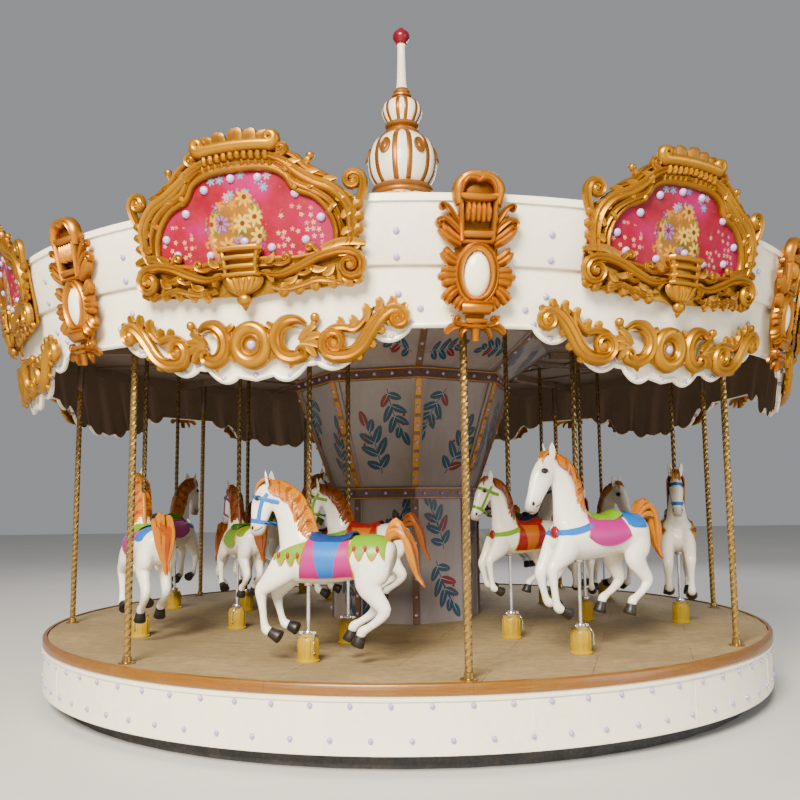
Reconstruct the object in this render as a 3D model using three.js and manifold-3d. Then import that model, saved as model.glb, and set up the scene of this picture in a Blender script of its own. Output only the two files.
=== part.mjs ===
// Fairground carousel with sixteen jumping horses.
// Millimetres, +Z up. The origin is on the ground at the centre of rotation.
// Azimuths start on the -Y axis and grow towards +X.

import * as THREE from "three";
import { mergeVertices } from "three/addons/utils/BufferGeometryUtils.js";
import Module from "manifold-3d";

// Driving dimensions
const bayCount = 8;
const ringSides = 48;
const postSides = 16;
const rodSides = 6;
const touchGap = 0.3;
const groundClear = 109;

const deckTop = 500;
const deckThickness = 60;
const deckRadius = 3100;
const deckHoleRadius = 430;
const rimStripWidth = 34;
const rimStripTop = 512;
const skirtOuterRadius = 3120;
const skirtThickness = 30;

const baseRingOuter = 2980;
const baseRingInner = 2850;
const baseHeight = 100;
const beamWidth = 120;
const beamHeight = 80;
const beamAzimuth = 22.5;
const hubRadius = 320;

const postRadius = 110;
const postFootRadius = 240;
const postShoulderRadius = 470;
const postShoulderLow = 360;
const postTop = 4150;

const polePitchRadius = 3000;
const rimPoleRadius = 25;
const ceilingZ = 2990;
const ceilingThickness = 30;

const drumRadius = 670;
const drumTopRadius = 1000;
const crownRadius = 1420;
const drumWall = 30;
const lowerBelt = [1570, 1670];
const upperBelt = [2580, 2680];
const beltProud = 28;
const stripWidth = 70;
const stripProud = 14;

const boardFootZ = 2475;
const boardFootRadius = 3304;
const boardLean = 0.1894;
const boardThickness = 20;
const boardStep = 30;
const boardStepZ = 2890;
const boardTopZ = 3285;

const roofEdgeZ = 3255;
const roofTopZ = 4470;
const roofTopRadius = 300;
const roofThickness = 30;

const outerHorseRadius = 2434;
const innerHorseRadius = 1637;
const outerHorseMid = 1230;
const innerHorseMid = 1210;
const innerHorseScale = 0.8;
const stroke = 240;
const horsePoleRadius = 19;
const horseRodRadius = 13;
const rodPlay = 0.6;
const socketRadius = 65;
const socketShoulder = 668;
const socketTop = 700;
const collarRadius = 34;

// Height of each horse above the middle of its stroke, by bay
const outerLift = [60, 20, -80, -30, 80, 40, -20, -62];
const innerLift = [50, -40, 80, 10, -70, -50, 20, 49];

const wasm = await Module();
wasm.setup();

const finish = {
  black: new THREE.MeshStandardMaterial({ color: 0x17171a, roughness: 0.6, metalness: 0.2 }),
  steel: new THREE.MeshStandardMaterial({ color: 0x8d9196, roughness: 0.45, metalness: 0.8 }),
  boards: new THREE.MeshStandardMaterial({ color: 0xa39a8c, roughness: 0.85, metalness: 0 }),
  wood: new THREE.MeshStandardMaterial({ color: 0xb9742f, roughness: 0.5, metalness: 0 }),
  cream: new THREE.MeshStandardMaterial({ color: 0xe6e4dc, roughness: 0.45, metalness: 0 }),
  brass: new THREE.MeshStandardMaterial({ color: 0xb08d47, roughness: 0.3, metalness: 0.9 }),
  gold: new THREE.MeshStandardMaterial({ color: 0xc98a2c, roughness: 0.4, metalness: 0.35 }),
  copper: new THREE.MeshStandardMaterial({ color: 0xb9763a, roughness: 0.4, metalness: 0.35 }),
  panel: new THREE.MeshStandardMaterial({ color: 0xc9cdd2, roughness: 0.4, metalness: 0 }),
  belt: new THREE.MeshStandardMaterial({ color: 0x6d4a2b, roughness: 0.5, metalness: 0.2 }),
  ceiling: new THREE.MeshStandardMaterial({ color: 0x6b5d52, roughness: 0.8, metalness: 0 }),
  horse: new THREE.MeshStandardMaterial({ color: 0xe9e7e1, roughness: 0.35, metalness: 0 }),
  red: new THREE.MeshStandardMaterial({ color: 0xb3202c, roughness: 0.3, metalness: 0 }),
};

const carousel = new THREE.Group();

// Solids and meshes
function toSolid(geometry) {
  const plain = geometry.clone();
  for (const name of Object.keys(plain.attributes)) {
    if (name !== "position") plain.deleteAttribute(name);
  }
  const merged = mergeVertices(plain, 0.001);
  return new wasm.Manifold(new wasm.Mesh({
    numProp: 3,
    vertProperties: new Float32Array(merged.attributes.position.array),
    triVerts: new Uint32Array(merged.index.array),
  }));
}

function toGeometry(solid) {
  const mesh = solid.getMesh();
  const geometry = new THREE.BufferGeometry();
  geometry.setAttribute("position", new THREE.BufferAttribute(new Float32Array(mesh.vertProperties), 3));
  geometry.setIndex(new THREE.BufferAttribute(new Uint32Array(mesh.triVerts), 1));
  geometry.computeVertexNormals();
  return geometry;
}

function union(geometries) {
  return geometries.map(toSolid).reduce((sum, solid) => sum.add(solid));
}

function place(name, geometry, material, azimuth = 0, lift = 0) {
  const mesh = new THREE.Mesh(geometry, material);
  mesh.name = name;
  mesh.rotation.z = THREE.MathUtils.degToRad(azimuth);
  mesh.position.z = lift;
  carousel.add(mesh);
}

// A ring turned about the vertical axis: profile points are [radius, height], first vertex on azimuth 0
function turned(profile, sides, closed = true) {
  const points = profile.map(([radius, height]) => new THREE.Vector2(radius, height));
  if (closed) points.push(points[0].clone());
  return new THREE.LatheGeometry(points, sides).rotateX(Math.PI / 2);
}

// An upright rod, with a flat side towards each of its own axes
function upright(radius, low, high, sides, x = 0, y = 0) {
  return new THREE.CylinderGeometry(radius, radius, high - low, sides)
    .rotateX(Math.PI / 2).translate(x, y, (low + high) / 2);
}

// A flat outline, with a hole if it has one, given its depth along +Z
function extruded(outline, hole, depth) {
  const toPoints = (corners) => {
    const points = corners.map(([x, y]) => new THREE.Vector2(x, y));
    return THREE.ShapeUtils.isClockWise(points) ? points.reverse() : points;
  };
  const shape = new THREE.Shape(toPoints(outline));
  if (hole) shape.holes.push(new THREE.Path(toPoints(hole)));
  return new THREE.ExtrudeGeometry(shape, { depth, bevelEnabled: false, curveSegments: 6 });
}

// Fixed base: a black ring and cross beams on the ground, and the post that everything turns on
function makeBase() {
  const ring = turned([
    [baseRingInner, 0], [baseRingOuter, 0], [baseRingOuter, baseHeight], [baseRingInner, baseHeight],
  ], ringSides);
  const beamLength = baseRingInner + baseRingOuter;
  const beams = [0, 90].map((angle) => new THREE.BoxGeometry(beamLength, beamWidth, beamHeight)
    .translate(0, 0, beamHeight / 2).rotateZ(THREE.MathUtils.degToRad(angle + beamAzimuth)));
  const hub = upright(hubRadius, 0, beamHeight, postSides);
  place("base_frame", toGeometry(union([ring, ...beams, hub])), finish.black);

  // A foot plate on the hub, a sleeve, and a shoulder that the floor turns on
  const footLow = beamHeight + touchGap;
  const footTop = footLow + 40;
  const sleeveRadius = postRadius + 20;
  const shoulderTop = deckTop - deckThickness - touchGap;
  place("centre_post", turned([
    [0, footLow], [postFootRadius, footLow], [postFootRadius, footTop], [sleeveRadius, footTop + 60],
    [sleeveRadius, postShoulderLow - 60], [postShoulderRadius, postShoulderLow],
    [postShoulderRadius, shoulderTop], [postRadius, shoulderTop], [postRadius, postTop], [0, postTop],
  ], postSides, false), finish.steel);
}

// The turning floor: boards with a bored socket for each horse rod, a wood strip and a white skirt
function horseSpots() {
  const spots = [];
  for (let bay = 0; bay < bayCount; bay += 1) {
    const azimuth = (bay + 0.5) * 360 / bayCount;
    spots.push({
      row: "outer", bay, azimuth, radius: outerHorseRadius, middle: outerHorseMid,
      lift: outerLift[bay], scale: 1,
    });
    spots.push({
      row: "inner", bay, azimuth, radius: innerHorseRadius, middle: innerHorseMid,
      lift: innerLift[bay], scale: innerHorseScale,
    });
  }
  return spots;
}

function makeDeck() {
  let deck = toSolid(turned([
    [deckHoleRadius, deckTop - deckThickness], [deckRadius, deckTop - deckThickness],
    [deckRadius, deckTop], [deckHoleRadius, deckTop],
  ], ringSides));
  const socketSides = 6;
  for (const spot of horseSpots()) {
    const turn = THREE.MathUtils.degToRad(spot.azimuth);
    const socket = turned([
      [0, deckTop - 10], [socketRadius, deckTop - 10], [socketRadius, socketShoulder],
      [collarRadius, socketShoulder], [collarRadius, socketTop], [0, socketTop],
    ], socketSides, false).translate(0, -spot.radius, 0).rotateZ(turn);
    const bore = upright(horseRodRadius + rodPlay, deckTop - deckThickness - 20, socketTop + 20, rodSides,
      0, -spot.radius).rotateZ(turn);
    deck = deck.add(toSolid(socket)).subtract(toSolid(bore));
  }
  place("deck", toGeometry(deck), finish.boards);

  place("deck_rim", turned([
    [deckRadius + touchGap, deckTop - deckThickness], [deckRadius + rimStripWidth, deckTop - deckThickness],
    [deckRadius + rimStripWidth, rimStripTop], [deckRadius + touchGap, rimStripTop],
  ], ringSides), finish.wood);

  const skirtTop = deckTop - deckThickness - touchGap;
  place("skirt", turned([
    [skirtOuterRadius - skirtThickness, groundClear], [skirtOuterRadius, groundClear],
    [skirtOuterRadius, skirtTop], [skirtOuterRadius - skirtThickness, skirtTop],
  ], ringSides), finish.cream);
}

// The eight-sided drum: its corners stand under the rim poles, each with a raised strip
function drumOutline(radius, sideways, proud) {
  const points = [];
  for (let corner = 0; corner < bayCount; corner += 1) {
    const angle = corner * 2 * Math.PI / bayCount - Math.PI / 2;
    const half = Math.PI / bayCount;
    for (const side of [-1, 1]) {
      const normal = angle + side * half;
      const edge = [Math.cos(normal + side * Math.PI / 2), Math.sin(normal + side * Math.PI / 2)];
      const base = [
        radius * Math.cos(angle) + edge[0] * sideways,
        radius * Math.sin(angle) + edge[1] * sideways,
      ];
      const raised = [base[0] + Math.cos(normal) * proud, base[1] + Math.sin(normal) * proud];
      if (side < 0) points.push(base, raised);
      else points.push(raised, base);
      if (side < 0) {
        const tip = radius + proud / Math.cos(half);
        points.push([tip * Math.cos(angle), tip * Math.sin(angle)]);
      }
    }
  }
  return points;
}

function octagon(radius) {
  return Array.from({ length: bayCount }, (_, corner) => {
    const angle = corner * 2 * Math.PI / bayCount - Math.PI / 2;
    return [radius * Math.cos(angle), radius * Math.sin(angle)];
  });
}

function drumShell(lowRadius, highRadius, low, high, withStrips) {
  const outline = withStrips ? drumOutline(lowRadius, stripWidth / 2, stripProud) : octagon(lowRadius);
  const shell = extruded(outline, octagon(lowRadius - drumWall), high - low);
  const position = shell.attributes.position;
  for (let i = 0; i < position.count; i += 1) {
    const share = position.getZ(i) / (high - low);
    const spread = 1 + share * (highRadius / lowRadius - 1);
    position.setXY(i, position.getX(i) * spread, position.getY(i) * spread);
  }
  return shell.translate(0, 0, low);
}

function makeDrum() {
  const wide = drumTopRadius;
  place("drum_lower", drumShell(
    drumRadius, drumRadius, deckTop + touchGap, lowerBelt[0] - touchGap, true), finish.panel);
  place("drum_belt_lower", drumShell(
    drumRadius + beltProud, drumRadius + beltProud, ...lowerBelt, false), finish.belt);
  place("drum_flare", drumShell(
    drumRadius, wide, lowerBelt[1] + touchGap, upperBelt[0] - touchGap, true), finish.panel);
  place("drum_belt_upper", drumShell(wide + beltProud, wide + beltProud, ...upperBelt, false), finish.belt);
  place("drum_crown", drumShell(
    wide, crownRadius, upperBelt[1] + touchGap, ceilingZ - touchGap, true), finish.panel);
}

// Canopy: leaning boards round the rim, a flat ceiling and a low cone of a roof
function boardRadius(z) {
  return boardFootRadius + (z - boardFootZ) * boardLean;
}

// Heights of the scalloped lower edge, from the pole to the middle of a bay in equal steps
const valanceEdges = [2545, 2470, 2320, 2265];

function valanceEdge(azimuth) {
  const bay = 360 / bayCount;
  const fromPole = Math.abs(azimuth - bay * Math.round(azimuth / bay));
  return valanceEdges[Math.round(fromPole * ringSides / 360)];
}

const swagHalfOutline = [
  [0, 2640], [120, 2620], [200, 2570], [420, 2580], [860, 2740], [920, 2600], [560, 2430], [130, 2400],
  [80, 2320], [0, 2320],
];

// Splits every edge that spans more than maxSpan along the rim, so that a flat form can follow the curve
function subdivided(geometry, maxSpan) {
  const source = geometry.index ? geometry.toNonIndexed() : geometry;
  const position = source.attributes.position;
  let corners = Array.from({ length: position.count },
    (_, i) => new THREE.Vector3().fromBufferAttribute(position, i));
  let split = true;
  while (split) {
    split = false;
    const next = [];
    for (let i = 0; i < corners.length; i += 3) {
      const [a, b, c] = corners.slice(i, i + 3);
      const sides = [[a, b, c], [b, c, a], [c, a, b]];
      const spans = sides.map(([from, to]) => Math.abs(from.x - to.x));
      const widest = spans.indexOf(Math.max(...spans));
      if (spans[widest] <= maxSpan) {
        next.push(a, b, c);
        continue;
      }
      split = true;
      const [from, to, apex] = sides[widest];
      const middle = from.clone().add(to).multiplyScalar(0.5);
      next.push(from, middle, apex, middle, to, apex);
    }
    corners = next;
  }
  return new THREE.BufferGeometry().setFromPoints(corners);
}

// Wraps a flat ornament (x along the rim, y its height, z its depth) round the leaning boards
function wrapped(flat, maxSpan, standOff) {
  const fine = subdivided(flat, maxSpan);
  const position = fine.attributes.position;
  for (let i = 0; i < position.count; i += 1) {
    const along = position.getX(i);
    const height = position.getY(i);
    const angle = along / boardRadius(boardStepZ) - Math.PI / 2;
    const radius = boardRadius(height) + standOff + position.getZ(i);
    position.setXYZ(i, radius * Math.cos(angle), radius * Math.sin(angle), height);
  }
  return fine;
}

// Leans a flat ornament back with the boards, tangent to them at its middle
function leaning(flat, standOff) {
  const position = flat.attributes.position;
  for (let i = 0; i < position.count; i += 1) {
    const height = position.getY(i);
    position.setXYZ(i, position.getX(i), -(boardRadius(height) + standOff + position.getZ(i)), height);
  }
  return flat;
}

function makeCanopy() {
  const foot = Math.min(...valanceEdges);
  const valance = turned([
    [boardRadius(foot) - boardThickness, foot], [boardRadius(foot), foot],
    [boardRadius(boardStepZ), boardStepZ], [boardRadius(boardStepZ) - boardThickness, boardStepZ],
  ], ringSides);
  const position = valance.attributes.position;
  for (let i = 0; i < position.count; i += 1) {
    const x = position.getX(i);
    const y = position.getY(i);
    if (position.getZ(i) < boardStepZ - 1) {
      const azimuth = THREE.MathUtils.radToDeg(Math.atan2(x, -y));
      const edge = valanceEdge(azimuth);
      const radius = Math.hypot(x, y);
      const moved = radius + (edge - foot) * boardLean;
      position.setXYZ(i, x / radius * moved, y / radius * moved, edge);
    }
  }
  let board = toSolid(valance);
  const swagDepth = 60;
  for (let bay = 0; bay < bayCount; bay += 1) {
    const swag = wrapped(extruded(mirrored(swagHalfOutline), null, swagDepth), 420, -8);
    board = board.add(toSolid(swag.rotateZ((bay + 0.5) * 2 * Math.PI / bayCount)));
  }
  place("valance", toGeometry(board), finish.cream);

  const low = boardStepZ + touchGap;
  place("cornice_board", turned([
    [boardRadius(low) - boardThickness, low], [boardRadius(low) + boardStep, low],
    [boardRadius(boardTopZ) + boardStep, boardTopZ], [boardRadius(boardTopZ) - boardThickness, boardTopZ],
  ], ringSides), finish.cream);

  const ceilingTop = ceilingZ + ceilingThickness;
  const clear = boardThickness + touchGap;
  const ceilingHole = crownRadius - 140;
  let ceiling = toSolid(turned([
    [ceilingHole, ceilingZ], [boardRadius(ceilingZ) - clear, ceilingZ],
    [boardRadius(ceilingTop) - clear, ceilingTop], [ceilingHole, ceilingTop],
  ], ringSides));
  const boreRadius = horsePoleRadius + rodPlay;
  for (const spot of horseSpots()) {
    const bore = upright(boreRadius, ceilingZ - 20, ceilingTop + 20, rodSides, 0, -spot.radius)
      .rotateZ(THREE.MathUtils.degToRad(spot.azimuth));
    ceiling = ceiling.subtract(toSolid(bore));
  }
  place("ceiling", toGeometry(ceiling), finish.ceiling);

  const roofEdge = boardRadius(roofEdgeZ) - clear;
  place("roof", turned([
    [roofEdge - 60, roofEdgeZ], [roofEdge, roofEdgeZ], [roofEdge, roofEdgeZ + roofThickness],
    [roofTopRadius, roofTopZ], [0, roofTopZ], [0, roofTopZ - 60], [roofTopRadius - 20, roofTopZ - 60],
  ], ringSides, true), finish.cream);
}

// Twisted brass poles round the rim
function makeRimPoles() {
  for (let bay = 0; bay < bayCount; bay += 1) {
    const pole = upright(rimPoleRadius, deckTop + touchGap, ceilingZ - touchGap, 12, 0, -polePitchRadius);
    place(`rim_pole_${bay + 1}`, pole, finish.brass, bay * 360 / bayCount);
  }
}

// Gilded picture frames in the middle of each bay, with a crest above and an urn below
const crestHalfOutline = [
  [0, 3690], [160, 3690], [275, 3620], [240, 3520], [440, 3490], [660, 3410], [735, 3330], [650, 3080],
  [740, 2980], [730, 2830], [330, 2780], [90, 2690], [0, 2655],
];
const crestHalfOpening = [
  [0, 3450], [240, 3425], [490, 3230], [560, 3110], [530, 2980], [340, 2930], [0, 2930],
];

function mirrored(half) {
  const other = half.slice(1, -1).reverse().map(([x, y]) => [-x, y]);
  return [...half, ...other];
}

function makeCrestFrames() {
  const frameDepth = 80;
  const backDepth = 22;
  const frameClear = boardStep + 14;
  const maxSpan = 360;
  const openingMiddle = 3190;
  const pictureHalf = crestHalfOpening.map(
    ([x, y]) => [x * 1.06, openingMiddle + (y - openingMiddle) * 1.08]);
  const moulding = extruded(mirrored(crestHalfOutline), mirrored(crestHalfOpening), frameDepth);
  const ring = wrapped(moulding, maxSpan, frameClear);
  const picture = wrapped(extruded(mirrored(pictureHalf), null, backDepth), maxSpan, frameClear + 6);
  const lugs = [[2860, 2920], [3180, 3240]].map(([low, high]) => wrapped(
    extruded([[-30, low], [30, low], [30, high], [-30, high]], null, 30), maxSpan, boardStep + touchGap));
  const frame = toGeometry(union([ring, picture, ...lugs]));
  for (let bay = 0; bay < bayCount; bay += 1) {
    place(`crest_frame_${bay + 1}`, frame, finish.gold, (bay + 0.5) * 360 / bayCount);
  }
}

// Leafy cartouches over the rim poles, with an oval boss
const cartoucheHalfOutline = [
  [0, 3395], [100, 3370], [140, 3230], [240, 3100], [215, 2980], [235, 2840], [160, 2640], [180, 2510],
  [90, 2450], [0, 2450],
];

function makeCartouches() {
  const cartoucheDepth = 75;
  const standOff = boardStep + touchGap;
  const leafPlate = extruded(mirrored(cartoucheHalfOutline), null, cartoucheDepth);
  const boss = new THREE.SphereGeometry(1, 8, 5).scale(75, 135, 45).translate(0, 2815, cartoucheDepth);
  const knob = new THREE.SphereGeometry(1, 6, 4).scale(105, 80, 60).translate(0, 3300, cartoucheDepth);
  const cartouche = toGeometry(union([leafPlate, boss, knob].map((form) => leaning(form, standOff))));
  for (let bay = 0; bay < bayCount; bay += 1) {
    place(`cartouche_${bay + 1}`, cartouche, finish.copper, bay * 360 / bayCount);
  }
}

// Roof finial: gored bulb, fluted cup, tapered spire and ball
function makeFinial() {
  const sides = 16;
  const bulbLow = roofTopZ + touchGap;
  place("finial_bulb", turned([
    [0, bulbLow], [290, bulbLow], [300, 4580], [250, 4610], [318, 4710], [342, 4850], [318, 4990],
    [235, 5110], [165, 5150], [165, 5190], [0, 5190],
  ], sides, false), finish.cream);
  place("finial_cup", turned([
    [0, 5190 + touchGap], [120, 5190 + touchGap], [175, 5240], [200, 5340], [190, 5430], [130, 5500],
    [75, 5520], [95, 5580], [65, 5640], [0, 5640],
  ], sides, false), finish.gold);
  place("finial_spire", turned([
    [0, 5640 + touchGap], [57, 5640 + touchGap], [42, 6110], [0, 6110],
  ], 12, false), finish.cream);
  place("finial_ball", turned([
    [0, 6110 + touchGap], [45, 6110 + touchGap], [85, 6160], [85, 6220], [50, 6275], [0, 6292],
  ], 12, false), finish.red);
}

// A flat limb along a bent centre line, with its own width at each point
function limb(line, widths, thickness, across) {
  const left = [];
  const right = [];
  line.forEach(([x, z], i) => {
    const before = line[Math.max(0, i - 1)];
    const after = line[Math.min(line.length - 1, i + 1)];
    const along = new THREE.Vector2(after[0] - before[0], after[1] - before[1]).normalize();
    left.push([x - along.y * widths[i] / 2, z + along.x * widths[i] / 2]);
    right.unshift([x + along.y * widths[i] / 2, z - along.x * widths[i] / 2]);
  });
  return extruded([...left, ...right], null, thickness).rotateX(Math.PI / 2)
    .translate(0, across + thickness / 2, 0);
}

// A jumping horse that faces +X, with its pole on the local vertical axis and its barrel at height 0
function horseSolid(scale, headUp) {
  const barrelProfile = [
    [0, 218], [105, 185], [160, 60], [150, -170], [160, -420], [110, -580], [0, -612],
  ];
  const barrel = new THREE.LatheGeometry(
    barrelProfile.map(([radius, along]) => new THREE.Vector2(radius, along)).reverse(), 8)
    .rotateZ(-Math.PI / 2);
  const neckUp = [[-30, 120], [10, 380], [110, 520], [250, 590], [340, 520], [420, 340], [455, 180],
    [390, 110], [310, 160], [270, 290], [225, 270], [214, 60], [120, 0]];
  const neckBowed = [[-30, 120], [20, 350], [160, 490], [340, 525], [410, 440], [445, 260], [400, 135],
    [330, 150], [285, 270], [235, 265], [214, 60], [120, 0]];
  const neckDepth = 120;
  const legDepth = 72;
  const legSpread = 80;
  const legs = [
    [[[130, -40], [390, -300], [370, -560]], 1],
    [[[130, -40], [290, -310], [150, -530]], -1],
    [[[-470, -40], [-600, -310], [-430, -530]], 1],
    [[[-470, -40], [-450, -310], [-280, -530]], -1],
  ];
  const forms = [
    barrel,
    extruded(headUp ? neckUp : neckBowed, null, neckDepth).rotateX(Math.PI / 2)
      .translate(0, neckDepth / 2, 0),
    limb([[-560, 90], [-650, 150], [-740, 20], [-800, -160]], [90, 120, 110, 40], 90, 0),
    ...legs.map(([line, side]) => limb(line, [150, 72, 66], legDepth, side * legSpread)),
  ];
  return union(forms.map((form) => form.scale(scale, scale, scale)));
}

function makeHorses() {
  const rodEnd = deckTop + 20 - stroke / 2;
  const poleTop = ceilingZ + ceilingThickness + 40 + stroke / 2;
  for (const spot of horseSpots()) {
    const horse = horseSolid(spot.scale, spot.bay % 2 === 0)
      .add(toSolid(upright(horsePoleRadius, 0, poleTop - spot.middle, rodSides)))
      .add(toSolid(upright(horseRodRadius, rodEnd - spot.middle, 0, rodSides)));
    const geometry = toGeometry(horse).rotateZ(Math.PI).translate(0, -spot.radius, spot.middle + spot.lift);
    place(`horse_${spot.row}_${spot.bay + 1}`, geometry, finish.horse, spot.azimuth);
  }
}

makeBase();
makeDeck();
makeDrum();
makeCanopy();
makeRimPoles();
makeCrestFrames();
makeCartouches();
makeFinial();
makeHorses();

export default carousel;
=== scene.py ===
import math
import random

import bmesh
import bpy
from bmesh.types import BMEdge, BMFace, BMVert
from mathutils import Matrix, Vector
from mathutils.bvhtree import BVHTree


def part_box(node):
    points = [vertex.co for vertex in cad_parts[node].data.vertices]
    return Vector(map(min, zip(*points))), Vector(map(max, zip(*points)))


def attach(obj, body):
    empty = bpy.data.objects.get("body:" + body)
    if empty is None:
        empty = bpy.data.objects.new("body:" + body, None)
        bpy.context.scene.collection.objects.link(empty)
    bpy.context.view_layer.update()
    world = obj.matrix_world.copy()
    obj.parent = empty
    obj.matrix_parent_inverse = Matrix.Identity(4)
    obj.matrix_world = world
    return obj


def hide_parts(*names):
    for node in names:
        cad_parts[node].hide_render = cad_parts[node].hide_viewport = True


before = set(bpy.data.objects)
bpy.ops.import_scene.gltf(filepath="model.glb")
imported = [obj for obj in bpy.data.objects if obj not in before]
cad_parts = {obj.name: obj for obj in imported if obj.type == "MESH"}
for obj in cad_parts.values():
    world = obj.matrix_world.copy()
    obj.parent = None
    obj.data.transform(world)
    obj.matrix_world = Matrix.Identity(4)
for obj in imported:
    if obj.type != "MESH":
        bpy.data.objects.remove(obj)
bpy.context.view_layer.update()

# Main sizes that several pieces share, in metres
ride = {
    "bays": 8,
    "deckTop": 0.5,
    "deckRadius": 3.1,
    "poleCircle": 3.0,
    "rowRadii": {"outer": 2.434, "inner": 1.637},
    "boardFootZ": 2.475,
    "boardFootRadius": 3.304,
    "boardLean": 0.1894,
    "boardStep": 0.03,
    "boardStepZ": 2.89,
    "boardTopZ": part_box("cornice_board")[1].z,
    "ceilingZ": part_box("ceiling")[0].z,
}
bays = range(ride["bays"])
bayAngle = 2 * math.pi / ride["bays"]
wrapRadius = ride["boardFootRadius"] + (ride["boardStepZ"] - ride["boardFootZ"]) * ride["boardLean"]


# Placing and bending
def boardRadius(z):
    return ride["boardFootRadius"] + (z - ride["boardFootZ"]) * ride["boardLean"]


def turnZ(angle):
    return Matrix.Rotation(angle, 4, "Z")


def rimPoint(angle, radius, z=0.0):
    return Vector((radius * math.sin(angle), -radius * math.cos(angle), z))


def bendRound(bm, standOff):
    # Flat work has X along the rim, Z up and -Y outwards; this wraps it round the leaning boards
    for vert in bm.verts:
        x, y, z = vert.co
        vert.co = rimPoint(x / wrapRadius, boardRadius(z) + standOff - y, z)


def pick(geom, kind):
    return [part for part in geom if isinstance(part, kind)]


def spinVerts(bm, angle, verts):
    bmesh.ops.rotate(bm, cent=(0, 0, 0), matrix=Matrix.Rotation(angle, 3, "Z"), verts=verts)


def turnOutwards(bm):
    bmesh.ops.recalc_face_normals(bm, faces=bm.faces[:])


def roundEdges(bm, edges, offset, segments):
    bmesh.ops.bevel(bm, geom=edges, offset=offset, offset_type="OFFSET", segments=segments, profile=0.5,
                    affect="EDGES", material=-1)


# Turning a bmesh into a finished piece that rides on a body
def toMesh(name, bm):
    mesh = bpy.data.meshes.new(name)
    bm.to_mesh(mesh)
    bm.free()
    return mesh


def finishPiece(name, bm, materials, nodes=(), body="turntable", sharpAngle=40):
    finishMesh(name, toMesh(name, bm), materials, nodes, body, sharpAngle)


def finishMesh(name, mesh, materials, nodes=(), body="turntable", sharpAngle=40):
    for material in materials:
        mesh.materials.append(material)
    mesh.shade_smooth()
    mesh.set_sharp_from_angle(angle=math.radians(sharpAngle))
    piece = bpy.data.objects.new(name, mesh)
    bpy.context.scene.collection.objects.link(piece)
    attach(piece, body)
    if nodes:
        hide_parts(*nodes)


def paintNew(bm, kept, index):
    # Gives a material to the faces made since the set was kept
    for face in bm.faces:
        if face not in kept:
            face.material_index = index


# Forms that several pieces use
def shapeSection(verts, kind):
    # The unit circle becomes the cross-section: x runs across the form and y stands out of it
    for vert in verts:
        x, y = vert.co.x, vert.co.y
        if kind == "relief":
            vert.co.y = y if y > 0 else y * 0.35
        elif kind == "grooved":
            vert.co.y = max(y, 0) * (1 - 0.42 * math.exp(-(x / 0.28) ** 2)) + min(y, 0) * 0.35
        elif kind == "cupped":
            vert.co.y = max(y, 0) * (0.45 + 0.55 * x * x) + min(y, 0) * 0.3


def joinInto(bm, other):
    mesh = toMesh("joined", other)
    bm.from_mesh(mesh)
    bpy.data.meshes.remove(mesh)


def sweep(bm, route, widths, heights, kind="round", segments=10, upright=None):
    # Extrudes a section along a route; widths and heights give its half sizes, one for all or one a station
    widths, heights = [size if isinstance(size, list) else [size] * len(route) for size in (widths, heights)]
    outs = upright if isinstance(upright, list) else [Vector(upright or (0, -1, 0))] * len(route)
    form = bmesh.new()
    ring = bmesh.ops.create_circle(form, cap_ends=True, radius=1, segments=segments)["verts"]
    if kind != "round":
        # Mouldings lie on a board, so their back is left flat
        bmesh.ops.dissolve_verts(form, verts=[vert for vert in ring if vert.co.y < -0.6])
        ring = form.verts[:]
    shapeSection(ring, kind)
    edges = list({edge for vert in ring for edge in vert.link_edges})
    before = Matrix.Identity(4)
    last = len(route) - 1
    for i, point in enumerate(route):
        along = (route[min(i + 1, last)] - route[max(i - 1, 0)]).normalized()
        across = outs[i].cross(along).normalized()
        stand = along.cross(across)
        place = Matrix((across * widths[i], stand * heights[i], along)).transposed().to_4x4()
        place.translation = point
        if i:
            grown = bmesh.ops.extrude_edge_only(form, edges=edges)["geom"]
            ring, edges = pick(grown, BMVert), pick(grown, BMEdge)
        bmesh.ops.transform(form, matrix=place @ before.inverted(), verts=ring)
        before = place
    bmesh.ops.contextual_create(form, geom=edges)
    joinInto(bm, form)


def flat(*points):
    # Millimetres along the rim, up, and outwards
    return [Vector((x, -depth, z)) / 1000 for x, z, depth in points]


def curve(points, steps):
    # Catmull-Rom curve from the second point to the last but one
    route = []
    for i in range(1, len(points) - 2):
        a, b, c, d = points[i - 1:i + 3]
        for k in range(steps):
            t = k / steps
            route.append(0.5 * (2 * b + (c - a) * t + (2 * a - 5 * b + 4 * c - d) * t * t
                                + (3 * b - a - 3 * c + d) * t ** 3))
    return route


def smoothRoute(points, steps=5):
    ends = [points[0] * 2 - points[1]] + list(points) + [points[-1] * 2 - points[-2]]
    return curve(ends, steps) + [points[-1].copy()]


def loopRoute(half, steps=5):
    # A closed route through the points of the right half and their mirror images
    ring = flat(*half, *[(-x, z, depth) for x, z, depth in reversed(half[1:-1])])
    route = curve([ring[-1]] + ring + ring[:2], steps)
    return route + [route[0].copy(), route[1].copy()]


def addCurl(route, radius, turns, side, steps=16, rise=0.0):
    # Winds the end of a flat route into a volute; side 1 turns left of the way it goes
    along = (route[-1] - route[-2]).normalized()
    across = Vector((-along.z, 0, along.x)) * side
    centre = route[-1] + across * radius
    arm = -across * radius
    for k in range(1, steps + 1):
        share = k / steps
        spin = Matrix.Rotation(-side * turns * 2 * math.pi * share, 3, "Y")
        point = centre + spin @ arm * (1 - 0.8 * share)
        point.y -= rise * share
        route.append(point)
    return centre


def allParts(bm):
    return bm.verts[:] + bm.edges[:] + bm.faces[:]


def mirrorFlat(bm):
    # Copies what was made on the right half to the left half
    copied = bmesh.ops.duplicate(bm, geom=allParts(bm))["geom"]
    bmesh.ops.scale(bm, vec=(-1, 1, 1), verts=pick(copied, BMVert))
    bmesh.ops.reverse_faces(bm, faces=pick(copied, BMFace))


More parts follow.
